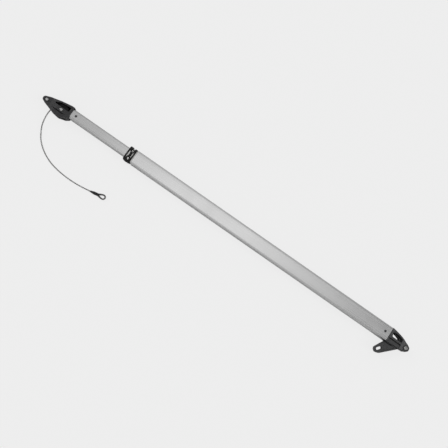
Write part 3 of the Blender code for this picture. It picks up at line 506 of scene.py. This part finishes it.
def lathe(profile, place, segments=72, closed=False, hexagon=()):
    """A profile of (radius, height) turned round Z; the points numbered in hexagon follow a hexagon."""
    rings = []
    for number, (radius, height) in enumerate(profile):
        ring = []
        for k in range(segments):
            angle = 2 * math.pi * k / segments
            reach = max(radius, 1e-6)
            if number in hexagon:
                reach /= math.cos((angle % (math.pi / 3)) - math.pi / 6)
            aside = Vector((math.cos(angle), math.sin(angle), 0)) * reach
            ring.append(place + Vector((0, 0, height)) + aside)
        rings.append(ring)
    return skin(rings, loop=closed, caps=not closed)


def rounded_rectangle(height, thickness, corner, steps=10):
    """The outline of a rounded rectangle in the YZ plane, round the strut's middle line."""
    outline = []
    for quarter, (sy, sz) in enumerate(((1, 1), (-1, 1), (-1, -1), (1, -1))):
        cy, cz = sy * (height / 2 - corner), MID + sz * (thickness / 2 - corner)
        for k in range(steps + 1):
            angle = math.pi / 2 * (quarter + k / steps)
            outline.append((cy + corner * math.cos(angle), cz + corner * math.sin(angle)))
    return outline


def smooth_route(points, step):
    """Points about one step apart on the smooth curve through these points."""
    points = [Vector(point) for point in points]
    ends = [2 * points[0] - points[1]] + points + [2 * points[-1] - points[-2]]
    route = [points[0]]
    for before, start, end, after in zip(ends, ends[1:], ends[2:], ends[3:]):
        length = (end - start).length
        leave = (end - before) * (length / ((end - start).length + (start - before).length))
        arrive = (after - start) * (length / ((after - end).length + (end - start).length))
        pieces = max(1, round(length / step))
        for k in range(1, pieces + 1):
            t = k / pieces
            route.append(
                (2 * t**3 - 3 * t**2 + 1) * start + (t**3 - 2 * t**2 + t) * leave
                + (3 * t**2 - 2 * t**3) * end + (t**3 - t**2) * arrive
            )
    return route


def spread_evenly(points, step, closed=False):
    """The same line with its points one step apart."""
    points = [Vector(point) for point in points]
    if closed:
        points = points + [points[0]]
    lengths = [0.0]
    for before, after in zip(points, points[1:]):
        lengths.append(lengths[-1] + (after - before).length)
    count = max(2, round(lengths[-1] / step))
    spots = np.linspace(0, lengths[-1], count + 1)
    values = [np.interp(spots, lengths, [point[i] for point in points]) for i in range(3)]
    made = [Vector(spot) for spot in zip(*values)]
    return made[:-1] if closed else made


def swept(route, section, closed=False, lay=0.0, up=None):
    """A section of (aside, up) points swept along a route. It turns once in each lay."""
    count = len(route)
    tangents = []
    for i in range(count):
        before = route[i - 1] if closed or i else route[0]
        after = route[(i + 1) % count] if closed or i < count - 1 else route[-1]
        tangents.append((after - before).normalized())
    side = up.cross(tangents[0]) if up else tangents[0].orthogonal()
    sides = [side.normalized()]
    for before, after in zip(tangents, tangents[1:]):
        if up:
            sides.append(up.cross(after).normalized())
        else:
            turned = before.rotation_difference(after) @ sides[-1]
            sides.append((turned - after * turned.dot(after)).normalized())
    drift = 0.0
    if closed and not up:
        last = tangents[-1].rotation_difference(tangents[0]) @ sides[-1]
        across = tangents[0].cross(sides[0])
        drift = -math.atan2(last.dot(across), last.dot(sides[0]))
    rings, travelled, lengths = [], 0.0, []
    for i, (place, tangent, aside) in enumerate(zip(route, tangents, sides)):
        if i:
            travelled += (place - route[i - 1]).length
        lengths.append(travelled)
        turn = drift * i / count + (2 * math.pi * travelled / lay if lay else 0.0)
        other = tangent.cross(aside)
        first = aside * math.cos(turn) + other * math.sin(turn)
        second = other * math.cos(turn) - aside * math.sin(turn)
        rings.append([place + first * x + second * y for x, y in section])
    return skin(rings, loop=closed, lengths=lengths)


def circle(radius, segments=20):
    turn = 2 * math.pi / segments
    return [(radius * math.cos(turn * k), radius * math.sin(turn * k)) for k in range(segments)]


def rope_section(radius, strands=6, steps=5):
    """The outline of strands lying round a core."""
    strand = radius / 3
    outline = []
    for number in range(strands):
        centre = 2 * math.pi * number / strands
        for k in range(steps):
            angle = math.pi / strands * (2 * k / steps - 1)
            reach = (radius - strand) * math.cos(angle)
            reach += math.sqrt(max(0.0, strand**2 - ((radius - strand) * math.sin(angle)) ** 2))
            turn = centre + angle
            outline.append((reach * math.cos(turn), reach * math.sin(turn)))
    return outline


def wire_rope(route, step=0.0012):
    return swept(spread_evenly(route, step), rope_section(WIRE_RADIUS), lay=WIRE_LAY)


def refined(node):
    """The node's CAD mesh remeshed finely and smoothed, so that its edges are round as cast."""
    made = bpy.data.objects.new(f"{node}_work", nodes[node].data.copy())
    scene.collection.objects.link(made)
    remesh = made.modifiers.new("remesh", "REMESH")
    remesh.mode = "VOXEL"
    remesh.voxel_size = 0.00048
    smooth = made.modifiers.new("smooth", "SMOOTH")
    smooth.factor = 0.5
    smooth.iterations = 6
    bpy.context.view_layer.update()
    graph = bpy.context.evaluated_depsgraph_get()
    fine = bpy.data.meshes.new_from_object(made.evaluated_get(graph))
    bpy.data.objects.remove(made)
    return fine


# ---------------------------------------------------------------- the free wire and what is on it

# Half of the thimble's section in mm: (aside, up) along its folded back, and in the wire's groove
THIMBLE_BACK = [
    (-1.1, 1.9), (-1.1, 2.6), (-1.3, 2.85), (-1.6, 2.85), (-2.1, 2.3), (-2.5, 1.5), (-2.7, 0.6),
]
THIMBLE_GROOVE = [(-1.45, 1.65), (-1.75, 1.2), (-2.0, 0.6), (-2.1, 0)]


def on_sleeve(along, aside=0.0):
    """A point this far along the sleeve's middle line, or past its end, and to its left."""
    rise = math.sin(SLEEVE_RISE) * min(along, SLEEVE_LENGTH)
    heading = Vector((math.cos(SLEEVE_HEADING), math.sin(SLEEVE_HEADING), 0))
    left = Vector((-heading.y, heading.x, 0))
    return SLEEVE_START + heading * along + left * aside + Vector((0, 0, rise))


def eye_route(first, start_aside):
    """A teardrop from one side of the sleeve's end, round the far bend, and back."""
    centre = SLEEVE_LENGTH + EYE_LENGTH
    shoulder = math.radians(105)
    side = []
    for k in range(12):
        t = k / 12
        spread = (3 * t**2 - 2 * t**3 + math.sin(math.pi * t / 2)) / 2
        aside = start_aside + (EYE_BEND * math.sin(shoulder) - start_aside) * spread
        side.append((first + (centre + EYE_BEND * math.cos(shoulder) - first) * t, aside))
    far = []
    for k in range(41):
        angle = shoulder * (1 - 2 * k / 40)
        far.append((centre + EYE_BEND * math.cos(angle), EYE_BEND * math.sin(angle)))
    return [on_sleeve(*point) for point in side + far + [(a, -b) for a, b in reversed(side)]]


def make_eye():
    bend = wire_rope(eye_route(SLEEVE_LENGTH - 0.003, 0.0021))
    return piece("wire_eye", to_mesh(bend, "wire_eye"), "wire_eye_loop", degrees=70)


def make_thimble():
    """A band that lies level inside the wire's eye, with its edges folded over the wire."""
    outline = THIMBLE_BACK + [(a, -b) for a, b in reversed(THIMBLE_BACK)]
    outline += [(a, -b) for a, b in THIMBLE_GROOVE] + [(a, b) for a, b in reversed(THIMBLE_GROOVE[:-1])]
    section = [(a * MM, b * MM) for a, b in reversed(outline)]
    level = on_sleeve(SLEEVE_LENGTH).z
    route = spread_evenly(eye_route(SLEEVE_LENGTH + 0.0022, 0.0026), 0.0007)
    route = [Vector((point.x, point.y, level)) for point in route]
    band = swept(route, section, up=Vector((0, 0, 1)))
    return piece("eye_thimble", to_mesh(band, "eye_thimble"), "thimble")


def make_sleeve():
    """Shrink tube, shrunk on to the wire at one end and full over both strands at the other."""
    start, end = 0.0045, SLEEVE_LENGTH + 0.0015
    thin, full = 0.0024, 0.0046
    profile = [(0, start + 0.002)]
    for k in range(60):
        along = start + (end - start) * k / 59
        taper = min(1.0, (along - start) / 0.014)
        radius = thin + (full - thin) * (3 * taper**2 - 2 * taper**3) ** 0.8
        radius += 0.00006 * math.sin(along * 2100) * math.sin(along * 530 + 1)  # small unevenness
        radius -= 0.0003 * math.exp(-((along - 0.0125) / 0.002) ** 2)  # the ferrule's edge
        profile.append((radius, along))
    profile += [
        (0.0047, end + 0.0001), (0.0045, end + 0.0004), (0.0038, end + 0.0003), (0.0036, end - 0.002),
        (0, end - 0.002),
    ]
    shell = lathe(profile, Vector(), segments=40)
    turn = Matrix.Rotation(SLEEVE_HEADING, 4, "Z") @ Matrix.Rotation(math.pi / 2 - SLEEVE_RISE, 4, "Y")
    bmesh.ops.transform(shell, matrix=Matrix.Translation(SLEEVE_START) @ turn, verts=shell.verts)
    return piece("shrink_sleeve", to_mesh(shell, "shrink_sleeve"), "ferrule_sleeve")


def make_free_wire():
    tail = smooth_route(WIRE_TAIL_ROUTE, 0.003)
    route = tail + [on_sleeve(0.004), on_sleeve(0.009)]
    wire = piece("free_wire", to_mesh(wire_rope(route), "free_wire"), "wire_tail", degrees=70)
    eye, thimble, sleeve = make_eye(), make_thimble(), make_sleeve()


def make_inner_wires():
    """The wire over the sheave, and its leg inside the tubes, made at one length (the real leg shortens
    as they close).
    """
    centre = SHEAVE_AXIS + Vector((0, SHEAVE_WIRE_RADIUS - WIRE_LEAVING_BEND, 0))
    route = [Vector((SHEAVE_AXIS.x + 0.0006, WIRE_Y, MID))]
    for k in range(25):
        angle = math.radians(90 + 88 * k / 24)
        route.append(centre + Vector((math.cos(angle), math.sin(angle), 0)) * WIRE_LEAVING_BEND)
    way_out = Vector(WIRE_TAIL_ROUTE[0])
    route += [way_out, way_out + Vector((-0.0001, -0.001, 0))]
    piece("sheave_wire", to_mesh(wire_rope(route), "sheave_wire"), "wire_over_sheave", degrees=70)

    low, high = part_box("wire_inner_leg")
    near, far = Vector((low.x, WIRE_Y, MID)), Vector((high.x, WIRE_Y, MID))
    rope = wire_rope([near, far], 0.003)
    leg = piece("inner_wire", to_mesh(rope, "inner_wire"), "wire_inner_leg", degrees=70)
    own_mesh(leg)


# ---------------------------------------------------------------- tubes and bush

EASE = 0.0004  # at a tube's ends
LEAST_FLAT = 0.005  # a shorter edge of an outline belongs to a rounded corner
# Across a groove, in shares of its half width and of its depth
GROOVE_SHAPE = [(-1.8, 0), (-1, 0), (-0.55, 0.8), (0, 1), (0.55, 0.8), (1, 0), (1.8, 0)]
# A countersunk hole's (radius, height over the face)
SCREW_HOLE = [
    (0, 0.003), (0.0045, 0.003), (0.0041, 0.0002), (0.0038, -0.0002), (0.0022, -0.0022),
    (0.0022, -0.006), (0, -0.006),
]


def grooved_outline(size, inset, wall, grooves):
    """A tube's outline this far inside its outer one, with a point close to each end of a flat.

    Each groove is its (y, depth, half width) on both broad faces, and doesn't reach the bore.
    """
    height, thickness, corner = size
    outline = rounded_rectangle(height - 2 * inset, thickness - 2 * inset, corner - inset)
    outline = [Vector(point) for point in outline]
    made = []
    for start, end in zip(outline, outline[1:] + outline[:1]):
        along = end - start
        if along.length < 1e-6:
            continue
        made.append(start)
        if along.length < LEAST_FLAT:
            continue
        way = along.normalized()
        made.append(start + way * 0.0003)
        if abs(way.y) < 0.1 and inset < wall:
            inward = Vector((0, 1 if start.y < MID else -1))
            for spot, depth, width in sorted(grooves, key=lambda groove: groove[0] * way.x):
                for shift, share in GROOVE_SHAPE:
                    place = Vector((spot + way.x * shift * width, start.y))
                    made.append(place + inward * depth * share)
        made.append(end - way * 0.0003)
    return [tuple(point) for point in made]


def tube_shell(low, high, outer, eased, bore):
    """A tube along X with eased ends, from its YZ outlines; the bore has a point count of its own."""
    rings = [
        [Vector((x, y, z)) for y, z in outline]
        for x, outline in ((low, eased), (low + EASE, outer), (high - EASE, outer), (high, eased))
    ]
    shell = skin(rings, caps=False)
    near, far = ([shell.verts.new((x, y, z)) for y, z in bore] for x in (low, high))
    for k in range(len(bore)):
        m = (k + 1) % len(bore)
        shell.faces.new((near[m], near[k], far[k], far[m]))
    shell.verts.ensure_lookup_table()
    count = len(outer)
    for ring, start in ((near, 0), (far, 3 * count)):
        outside = [shell.verts[start + k] for k in range(count)]
        edges = []
        for loop in (ring, outside):
            for a, b in zip(loop, loop[1:] + loop[:1]):
                edges.append(shell.edges.get((a, b)) or shell.edges.new((a, b)))
            bmesh.ops.triangle_fill(shell, use_beauty=True, use_dissolve=False, edges=edges)
    return shell


def cut_screw_hole(made, x, face, up):
    """A countersunk hole in a tube's broad face, on the side that up gives as 1 or -1."""
    profile = SCREW_HOLE if up > 0 else [(radius, -height) for radius, height in reversed(SCREW_HOLE)]
    cutter = bpy.data.objects.new("cutter", to_mesh(lathe(profile, Vector((x, 0, face))), "cutter"))
    scene.collection.objects.link(cutter)
    cut = made.modifiers.new("cut", "BOOLEAN")
    cut.object = cutter
    cut.solver = "EXACT"
    bpy.context.view_layer.update()
    graph = bpy.context.evaluated_depsgraph_get()
    mesh = bpy.data.meshes.new_from_object(made.evaluated_get(graph))
    made.modifiers.clear()
    made.data = mesh
    bpy.data.objects.remove(cutter)


def make_tube(name, node, size, wall, grooves, screw_xs):
    """An extruded tube with shallow grooves along its broad faces and countersunk screw holes."""
    low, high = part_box(node)
    outer, eased, bore = (grooved_outline(size, inset, wall, grooves) for inset in (0, EASE, wall))
    shell = tube_shell(low.x, high.x, outer, eased, bore)
    made = piece(name, to_mesh(shell, name), node, degrees=28)
    for x in screw_xs:
        for up in (1, -1):
            cut_screw_hole(made, x, MID + up * size[1] / 2, up)
    smooth_shaded(made.data, 28)


def make_tubes():
    make_tube(
        "outer_tube_extrusion", "outer_tube", (0.0455, 0.038, 0.008), 0.0025,
        [(-0.001, 0.00005, 0.0006), (0.0135, 0.00015, 0.0004), (-0.0135, 0.00012, 0.0004)], [0.448],
    )
    make_tube(
        "inner_tube_extrusion", "inner_tube", (0.031, 0.026, 0.005), 0.0025,
        [(0.0095, 0.0002, 0.0004), (-0.0095, 0.0002, 0.0004)], [-0.678, -0.046],
    )


def ring_prism(outer, inner, low, high, ease):
    """A hollow prism along X between two YZ outlines with the same count, its outer edges eased."""
    middle = sum(y for y, _ in outer) / len(outer)
    rings = []
    for x, inset in ((low, ease), (low + ease, 0), (high - ease, 0), (high, ease)):
        ring = []
        for y, z in outer:
            pull = Vector((y - middle, z - MID)).normalized() * inset
            ring.append(Vector((x, y - pull.x, z - pull.y)))
        rings.append(ring)
    for x in (high, low):
        rings.append([Vector((x, y, z)) for y, z in inner])
    return skin(rings, loop=True)


def make_bush():
    """The bush's neck under the cords, its flange at the tube's end, and its part inside the tube."""
    bore = rounded_rectangle(0.031 + 2 * GAP, 0.026 + 2 * GAP, 0.005 + GAP)
    neck = rounded_rectangle(0.038, 0.0292, 0.0065)
    flange = rounded_rectangle(0.042, 0.0342, 0.0075)
    inside = rounded_rectangle(0.0399, 0.0324, 0.0052)
    shells = [
        ring_prism(neck, bore, -0.4908, -OUTER_END + 0.0005, 0.0009),
        ring_prism(flange, bore, -OUTER_END - 0.0013, -OUTER_END - GAP, 0.0004),
        ring_prism(inside, bore, -OUTER_END - 0.0008, -0.430, 0.0004),
    ]
    piece("bush_moulding", joined("bush_moulding", shells), "guide_bush")


# ---------------------------------------------------------------- lashing

CORD_STEP = 0.0011
CLEAR = CORD_RADIUS + 0.00005  # from the bush's neck to the middle of a cord on it
# Half the height and thickness of a turn of cord, and its corners' radius
TURN_Y, TURN_Z, TURN_CORNER = 0.019 + CLEAR, 0.0146 + CLEAR, 0.0065 + CLEAR
LEFT_X, RIGHT_X = -0.4893, -0.4694  # the outer turns
OUTER_RADIUS = 0.0022
CROSSING_X = (LEFT_X + RIGHT_X) / 2 + 0.0012  # the middle of the two turns that cross
CROSSING_ABOVE, CROSSING_BELOW = 0.0046, 0.0047  # how far those are from it at either end
TWIST_START, TWIST_END = 0.0045, -0.0075  # y between which they wind round each other
TWIST_RADIUS = 0.0019
HALF_TWISTS = 3
# Short turns under the others: their x, and the x and y where each end is tucked away
TUCKED_TURNS = [
    (LEFT_X + 0.004, LEFT_X + 0.002, 0.0092),
    (RIGHT_X - 0.0036, RIGHT_X - 0.001, 0.0105),
]
BRIDGE = [(-484.2, 15.3, 34.3), (-479, 15.3, 35.1), (-473.8, 15.3, 34.3)]  # mm, between two turns
BRIDGE_RADIUS = 0.0016
KNOT_STRANDS = [  # mm, on the -Y side
    [(-491, -18.4, 25), (-489.6, -21.6, 27.2), (-485, -22.9, 28), (-479, -23, 27.6),
     (-473, -22.8, 28), (-470.2, -22.5, 27.4), (-468.6, -19.9, 25.6)],
    [(-491.2, -18.4, 20), (-489.6, -21.8, 21.6), (-485, -23, 23), (-479, -23.1, 22.2),
     (-473, -22.9, 22.6), (-470.9, -22.4, 22), (-469.6, -19.8, 20.4)],
    [(-490.8, -18.4, 15), (-489, -21.6, 16.4), (-484, -22.6, 17.8), (-478, -22.6, 16.6),
     (-473.4, -22.4, 17.6), (-471.6, -22, 16.8), (-470.4, -19.6, 15.4)],
    [(-485.4, -20.2, 31.5), (-483.6, -22.6, 30.8), (-481.6, -23.8, 27.4), (-480.2, -24, 22.6),
     (-481, -23.8, 18), (-483.4, -22.6, 14.6), (-486.4, -21, 12.8)],
    [(-489.6, -13.5, 35.8), (-486.6, -16.4, 37.2), (-482.6, -18.6, 36.2), (-480.4, -21.4, 33.4),
     (-480, -23.2, 29.4), (-480.4, -22.8, 25)],
    [(-488.4, -18.4, 33.4), (-484.8, -21, 34), (-480, -22.8, 31.8), (-474.6, -22.8, 30.8),
     (-470.6, -21.4, 31.8)],
    [(-476.8, -21, 30.4), (-476.2, -23, 28.2), (-475.2, -23.6, 24.6), (-472.6, -23.8, 21.6),
     (-470.4, -23.6, 20.6)],
]


def turn_outline():
    """The YZ line of a turn round the neck: four corners of nine points, the +Y upper one first."""
    return rounded_rectangle(2 * TURN_Y, 2 * TURN_Z, TURN_CORNER, 8)


def closed_turn(plus_x, minus_x, across=()):
    """A turn with its +Y and -Y halves at these x; across are its points over the upper face."""
    route = [Vector((plus_x if y > 0 else minus_x, y, z)) for y, z in turn_outline()]
    return route[:9] + list(across) + route[9:]


def crossing(sign):
    """One of the two cords that wind round each other across the upper face."""
    flat = TURN_Y - TURN_CORNER
    points = []
    for k in range(1, 48):
        y = flat * (1 - 2 * k / 48)
        done = min(1.0, max(0.0, (TWIST_START - y) / (TWIST_START - TWIST_END)))
        twist = HALF_TWISTS * math.pi * done
        before = max(0.0, y - TWIST_START) / (flat - TWIST_START)
        after = max(0.0, TWIST_END - y) / (flat + TWIST_END)
        outside = before or after
        far, power = (CROSSING_ABOVE, 0.75) if y > 0 else (CROSSING_BELOW, 1.3)
        ease = outside**power
        reach = TWIST_RADIUS * (1 - ease) + far * ease
        lift = TWIST_RADIUS * (1 - outside**2) + sign * TWIST_RADIUS * math.sin(twist)
        points.append(Vector((CROSSING_X - sign * reach * math.cos(twist), y, MID + TURN_Z + lift)))
    return points


def tucked_turn(x, tuck_x, tuck_y):
    """A short turn over the +Y side, its ends tucked under on the upper and the lower face."""
    turn = [Vector((x, y, z)) for y, z in turn_outline()]
    over = turn[8::-1] + turn[:-10:-1]
    tucks = [Vector((tuck_x, tuck_y, MID + up * (TURN_Z - 0.001))) for up in (1, -1)]
    return spread_evenly(smooth_route([tucks[0], *over, tucks[1]], CORD_STEP), CORD_STEP)


def make_lashing():
    turns = [
        (closed_turn(LEFT_X, LEFT_X), OUTER_RADIUS),
        (closed_turn(RIGHT_X, RIGHT_X), OUTER_RADIUS),
    ]
    for sign in (1, -1):
        ends = CROSSING_X - sign * CROSSING_ABOVE, CROSSING_X + sign * CROSSING_BELOW
        turns.append((closed_turn(*ends, crossing(sign)), CORD_RADIUS))
    shells = [
        swept(spread_evenly(turn, CORD_STEP, closed=True), circle(radius), closed=True)
        for turn, radius in turns
    ]
    shells += [swept(tucked_turn(*turn), circle(CORD_RADIUS)) for turn in TUCKED_TURNS]
    bridge = smooth_route([Vector(point) * MM for point in BRIDGE], CORD_STEP)
    shells.append(swept(bridge, circle(BRIDGE_RADIUS)))
    for strand in KNOT_STRANDS:
        route = smooth_route([Vector(point) * MM for point in strand], 0.001)
        shells.append(swept(route, circle(CORD_RADIUS)))
    piece("cord_lashing", joined("cord_lashing", shells), "shock_cord_lashing", degrees=60)


# ---------------------------------------------------------------- fittings, pins and sheave

PIN_RADIUS = 0.004
RING_RADIUS, RING_WIRE = 0.0063, 0.00042  # a split ring's, and its wire's
RING_OFFSET = 0.0065  # from the pin's axis to the ring's centre
SHEAVE_HALF = 0.005  # half its thickness
SCREW_PROFILE = [  # mm, from the socket's floor out over the head and down to the tip
    (0, -1.5), (0.9, -1.45), (1.15, -1.2), (1.15, -0.15), (1.3, 0), (3.2, 0), (3.5, -0.12),
    (3.6, -0.35), (1.9, -1.9), (1.9, -11), (0, -11),
]


def make_castings():
    """Both cast fittings; their smooth shading has no sharp edges."""
    for name, node in (("mast_casting", "mast_end_fitting"), ("boom_casting", "boom_end_fitting")):
        piece(name, refined(node), node, degrees=180)


def make_screws():
    """Countersunk screws with a hexagon socket, each on the side where its CAD node is."""
    for name in (node for node, slot in SLOTS.items() if slot == "dark_screw"):
        low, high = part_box(name)
        up = 1 if high.z > 0.03 else -1
        profile = [(radius * MM, up * height * MM) for radius, height in SCREW_PROFILE]
        place = Vector(((low.x + high.x) / 2, 0, high.z if up > 0 else low.z))
        shell = lathe(profile, place, segments=48, hexagon=(1, 2, 3))
        piece(f"{name}_fine", to_mesh(shell, name), name)


def make_pin(node, ring_node, place, head, cheek, heading):
    """A clevis pin with an eased head and a centre mark, and a split ring of two coils.

    head is the head's radius, cheek the height of the fork's outer face over the pin's middle, and
    heading the ring's direction in degrees.
    """
    shank = PIN_RADIUS
    under, top, tail = cheek + GAP, cheek + GAP + 0.0024, cheek + 0.005
    profile = [
        (0, top - 0.0005), (0.0006, top - 0.0004), (0.0011, top), (head - 0.0011, top),
        (head - 0.0005, top - 0.00015), (head - 0.0001, top - 0.0006), (head, top - 0.0011),
        (head, under + 0.0003), (head - 0.0003, under), (shank + 0.0002, under),
        (shank, under - 0.0002), (shank, 0.0008 - tail), (shank - 0.0002, 0.0003 - tail),
        (shank - 0.0007, -tail), (0, -tail),
    ]
    piece(f"{node}_fine", to_mesh(lathe(profile, place), node), node)

    turn = math.radians(heading)
    centre = place + Vector((math.cos(turn), math.sin(turn), 0)) * RING_OFFSET
    centre.z -= cheek + 0.003
    coil = []
    for k in range(101):
        angle = turn + math.pi + 4 * math.pi * k / 100
        around = Vector((math.cos(angle), math.sin(angle), 0)) * RING_RADIUS
        coil.append(centre + around + Vector((0, 0, RING_WIRE * (2 * k / 100 - 1))))
    shell = swept(coil, circle(RING_WIRE * 0.98, 10))
    piece(f"{ring_node}_coil", to_mesh(shell, ring_node), ring_node)


def make_sheave():
    """The wheel, with a round groove that fits the wire and a hollow in each side, and its bush."""
    rim, half, fit = 0.0204, SHEAVE_HALF, WIRE_RADIUS + 0.0002
    groove = []
    for k in range(13):
        angle = math.radians(78 - 156 * k / 12)
        groove.append((SHEAVE_WIRE_RADIUS - fit * math.cos(angle) + 0.0001, fit * math.sin(angle)))
    outside = [
        (rim - 0.0006, half), (rim - 0.0001, half - 0.0004), (rim, half - 0.001), (rim, 0.0029),
    ]
    side = [
        (0.0145, half), (0.0139, half - 0.0004), (0.0137, half - 0.0012), (0.0094, half - 0.0012),
        (0.0092, half - 0.0004), (0.0088, half), (0.007, half),
    ]
    lower_side = [(radius, -height) for radius, height in side]
    lower_outside = [(radius, -height) for radius, height in reversed(outside)]
    profile = outside + groove + lower_outside + lower_side + side[::-1]
    wheel = lathe(profile, SHEAVE_AXIS, segments=96, closed=True)
    piece("sheave_wheel", to_mesh(wheel, "sheave"), "sheave")
    bore, outer = 0.0043, 0.0067
    profile = [(outer, half), (outer, -half), (bore, -half), (bore, half)]
    bush = lathe(profile, SHEAVE_AXIS, closed=True)
    piece("sheave_bush", to_mesh(bush, "sheave_bush"), "sheave_bearing")


def make_axle():
    """The sheave's axle: a low head above the fitting and a clip's groove below it."""
    low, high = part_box("sheave_axle")
    top, foot, cheek, head = high.z - MID, low.z - MID, 0.0166, 0.0045
    profile = [
        (0, top - 0.0004), (0.0012, top - 0.0003), (0.0016, top), (0.0036, top), (0.0041, top - 0.0002),
        (0.0044, top - 0.0006), (head, top - 0.0012), (head, cheek + 0.0009),
        (PIN_RADIUS, cheek + 0.0009), (PIN_RADIUS, -cheek - 0.0003), (0.0032, -cheek - 0.0003),
        (0.0032, -cheek - 0.0012), (PIN_RADIUS, -cheek - 0.0012), (0.0038, foot + 0.0001),
        (0.0034, foot), (0, foot),
    ]
    piece("sheave_axle_pin", to_mesh(lathe(profile, SHEAVE_AXIS), "axle"), "sheave_axle")


# ---------------------------------------------------------------- stage

def make_world():
    """Soft studio surroundings: a bright soft strip overhead, dimmer sides."""
    scene.world = bpy.data.worlds.new("studio")
    scene.world.use_nodes = True
    made = Nodes(scene.world.node_tree)
    made.tree.nodes.clear()
    direction = made.add("TexCoord").outputs["Generated"]
    parts = made.add("SeparateXYZ", {"Vector": direction}).outputs
    reaches = []
    for name, centre, size in zip("XY", STRIP_CENTRE, STRIP_SIZE):
        away = made.math("DIVIDE", made.math("SUBTRACT", parts[name], centre), size)
        reaches.append(made.math("MULTIPLY", away, away))
    strip = made.math("EXPONENT", made.math("MULTIPLY", made.math("ADD", *reaches), -1.0))
    strip = made.math("MULTIPLY", strip, made.math("GREATER_THAN", parts["Z"], 0.0))
    base = made.between(parts["Z"], *SURROUND)
    grey = made.math("ADD", made.math("MULTIPLY", strip, STRIP_STRENGTH), base)
    background = made.add("Background", {"Color": grey})
    made.add("OutputWorld", {"Surface": background.outputs["Background"]})


def make_sun(name, heading, strength):
    light = bpy.data.lights.new(name, "SUN")
    light.energy = strength
    light.angle = math.radians(SUN_SPREAD)
    made = bpy.data.objects.new(name, light)
    scene.collection.objects.link(made)
    a, e = math.radians(heading), math.radians(SUN_ELEVATION)
    towards = Vector((math.cos(a) * math.cos(e), math.sin(a) * math.cos(e), math.sin(e)))
    made.rotation_mode = "QUATERNION"
    made.rotation_quaternion = towards.to_track_quat("Z", "Y")


def make_stage():
    mesh = bpy.data.meshes.new("floor")
    shell = bmesh.new()
    bmesh.ops.create_grid(shell, x_segments=1, y_segments=1, size=30)
    shell.to_mesh(mesh)
    shell.free()
    floor = bpy.data.objects.new("floor", mesh)
    floor.location.z = cad_box[0].z - 0.0001
    scene.collection.objects.link(floor)
    mesh.materials.append(make_floor_material())
    make_world()
    make_sun("sun_boom_side", 172, 1.0)
    make_sun("sun_mast_side", 8, 0.9)
    scene.view_settings.view_transform = "Standard"


def dress_cad_nodes():
    """Materials for the CAD pieces that stay, most of them inside the tubes."""
    for name, node in nodes.items():
        if node.hide_render:
            continue
        if not node.material_slots:
            node.data.materials.append(None)
        for holder in node.material_slots:
            holder.link = "OBJECT"
            holder.material = LOOKS[SLOTS[name]]


make_camera()
make_free_wire()
make_inner_wires()
make_tubes()
make_bush()
make_lashing()
make_castings()
make_screws()
make_pin("mast_clevis_pin", "mast_pin_ring", MAST_PIN, 0.006, 0.0125, 165)
make_pin("boom_clevis_pin", "boom_pin_ring", BOOM_PIN, 0.005, 0.011, 10)
make_sheave()
make_axle()
dress_cad_nodes()
make_stage()
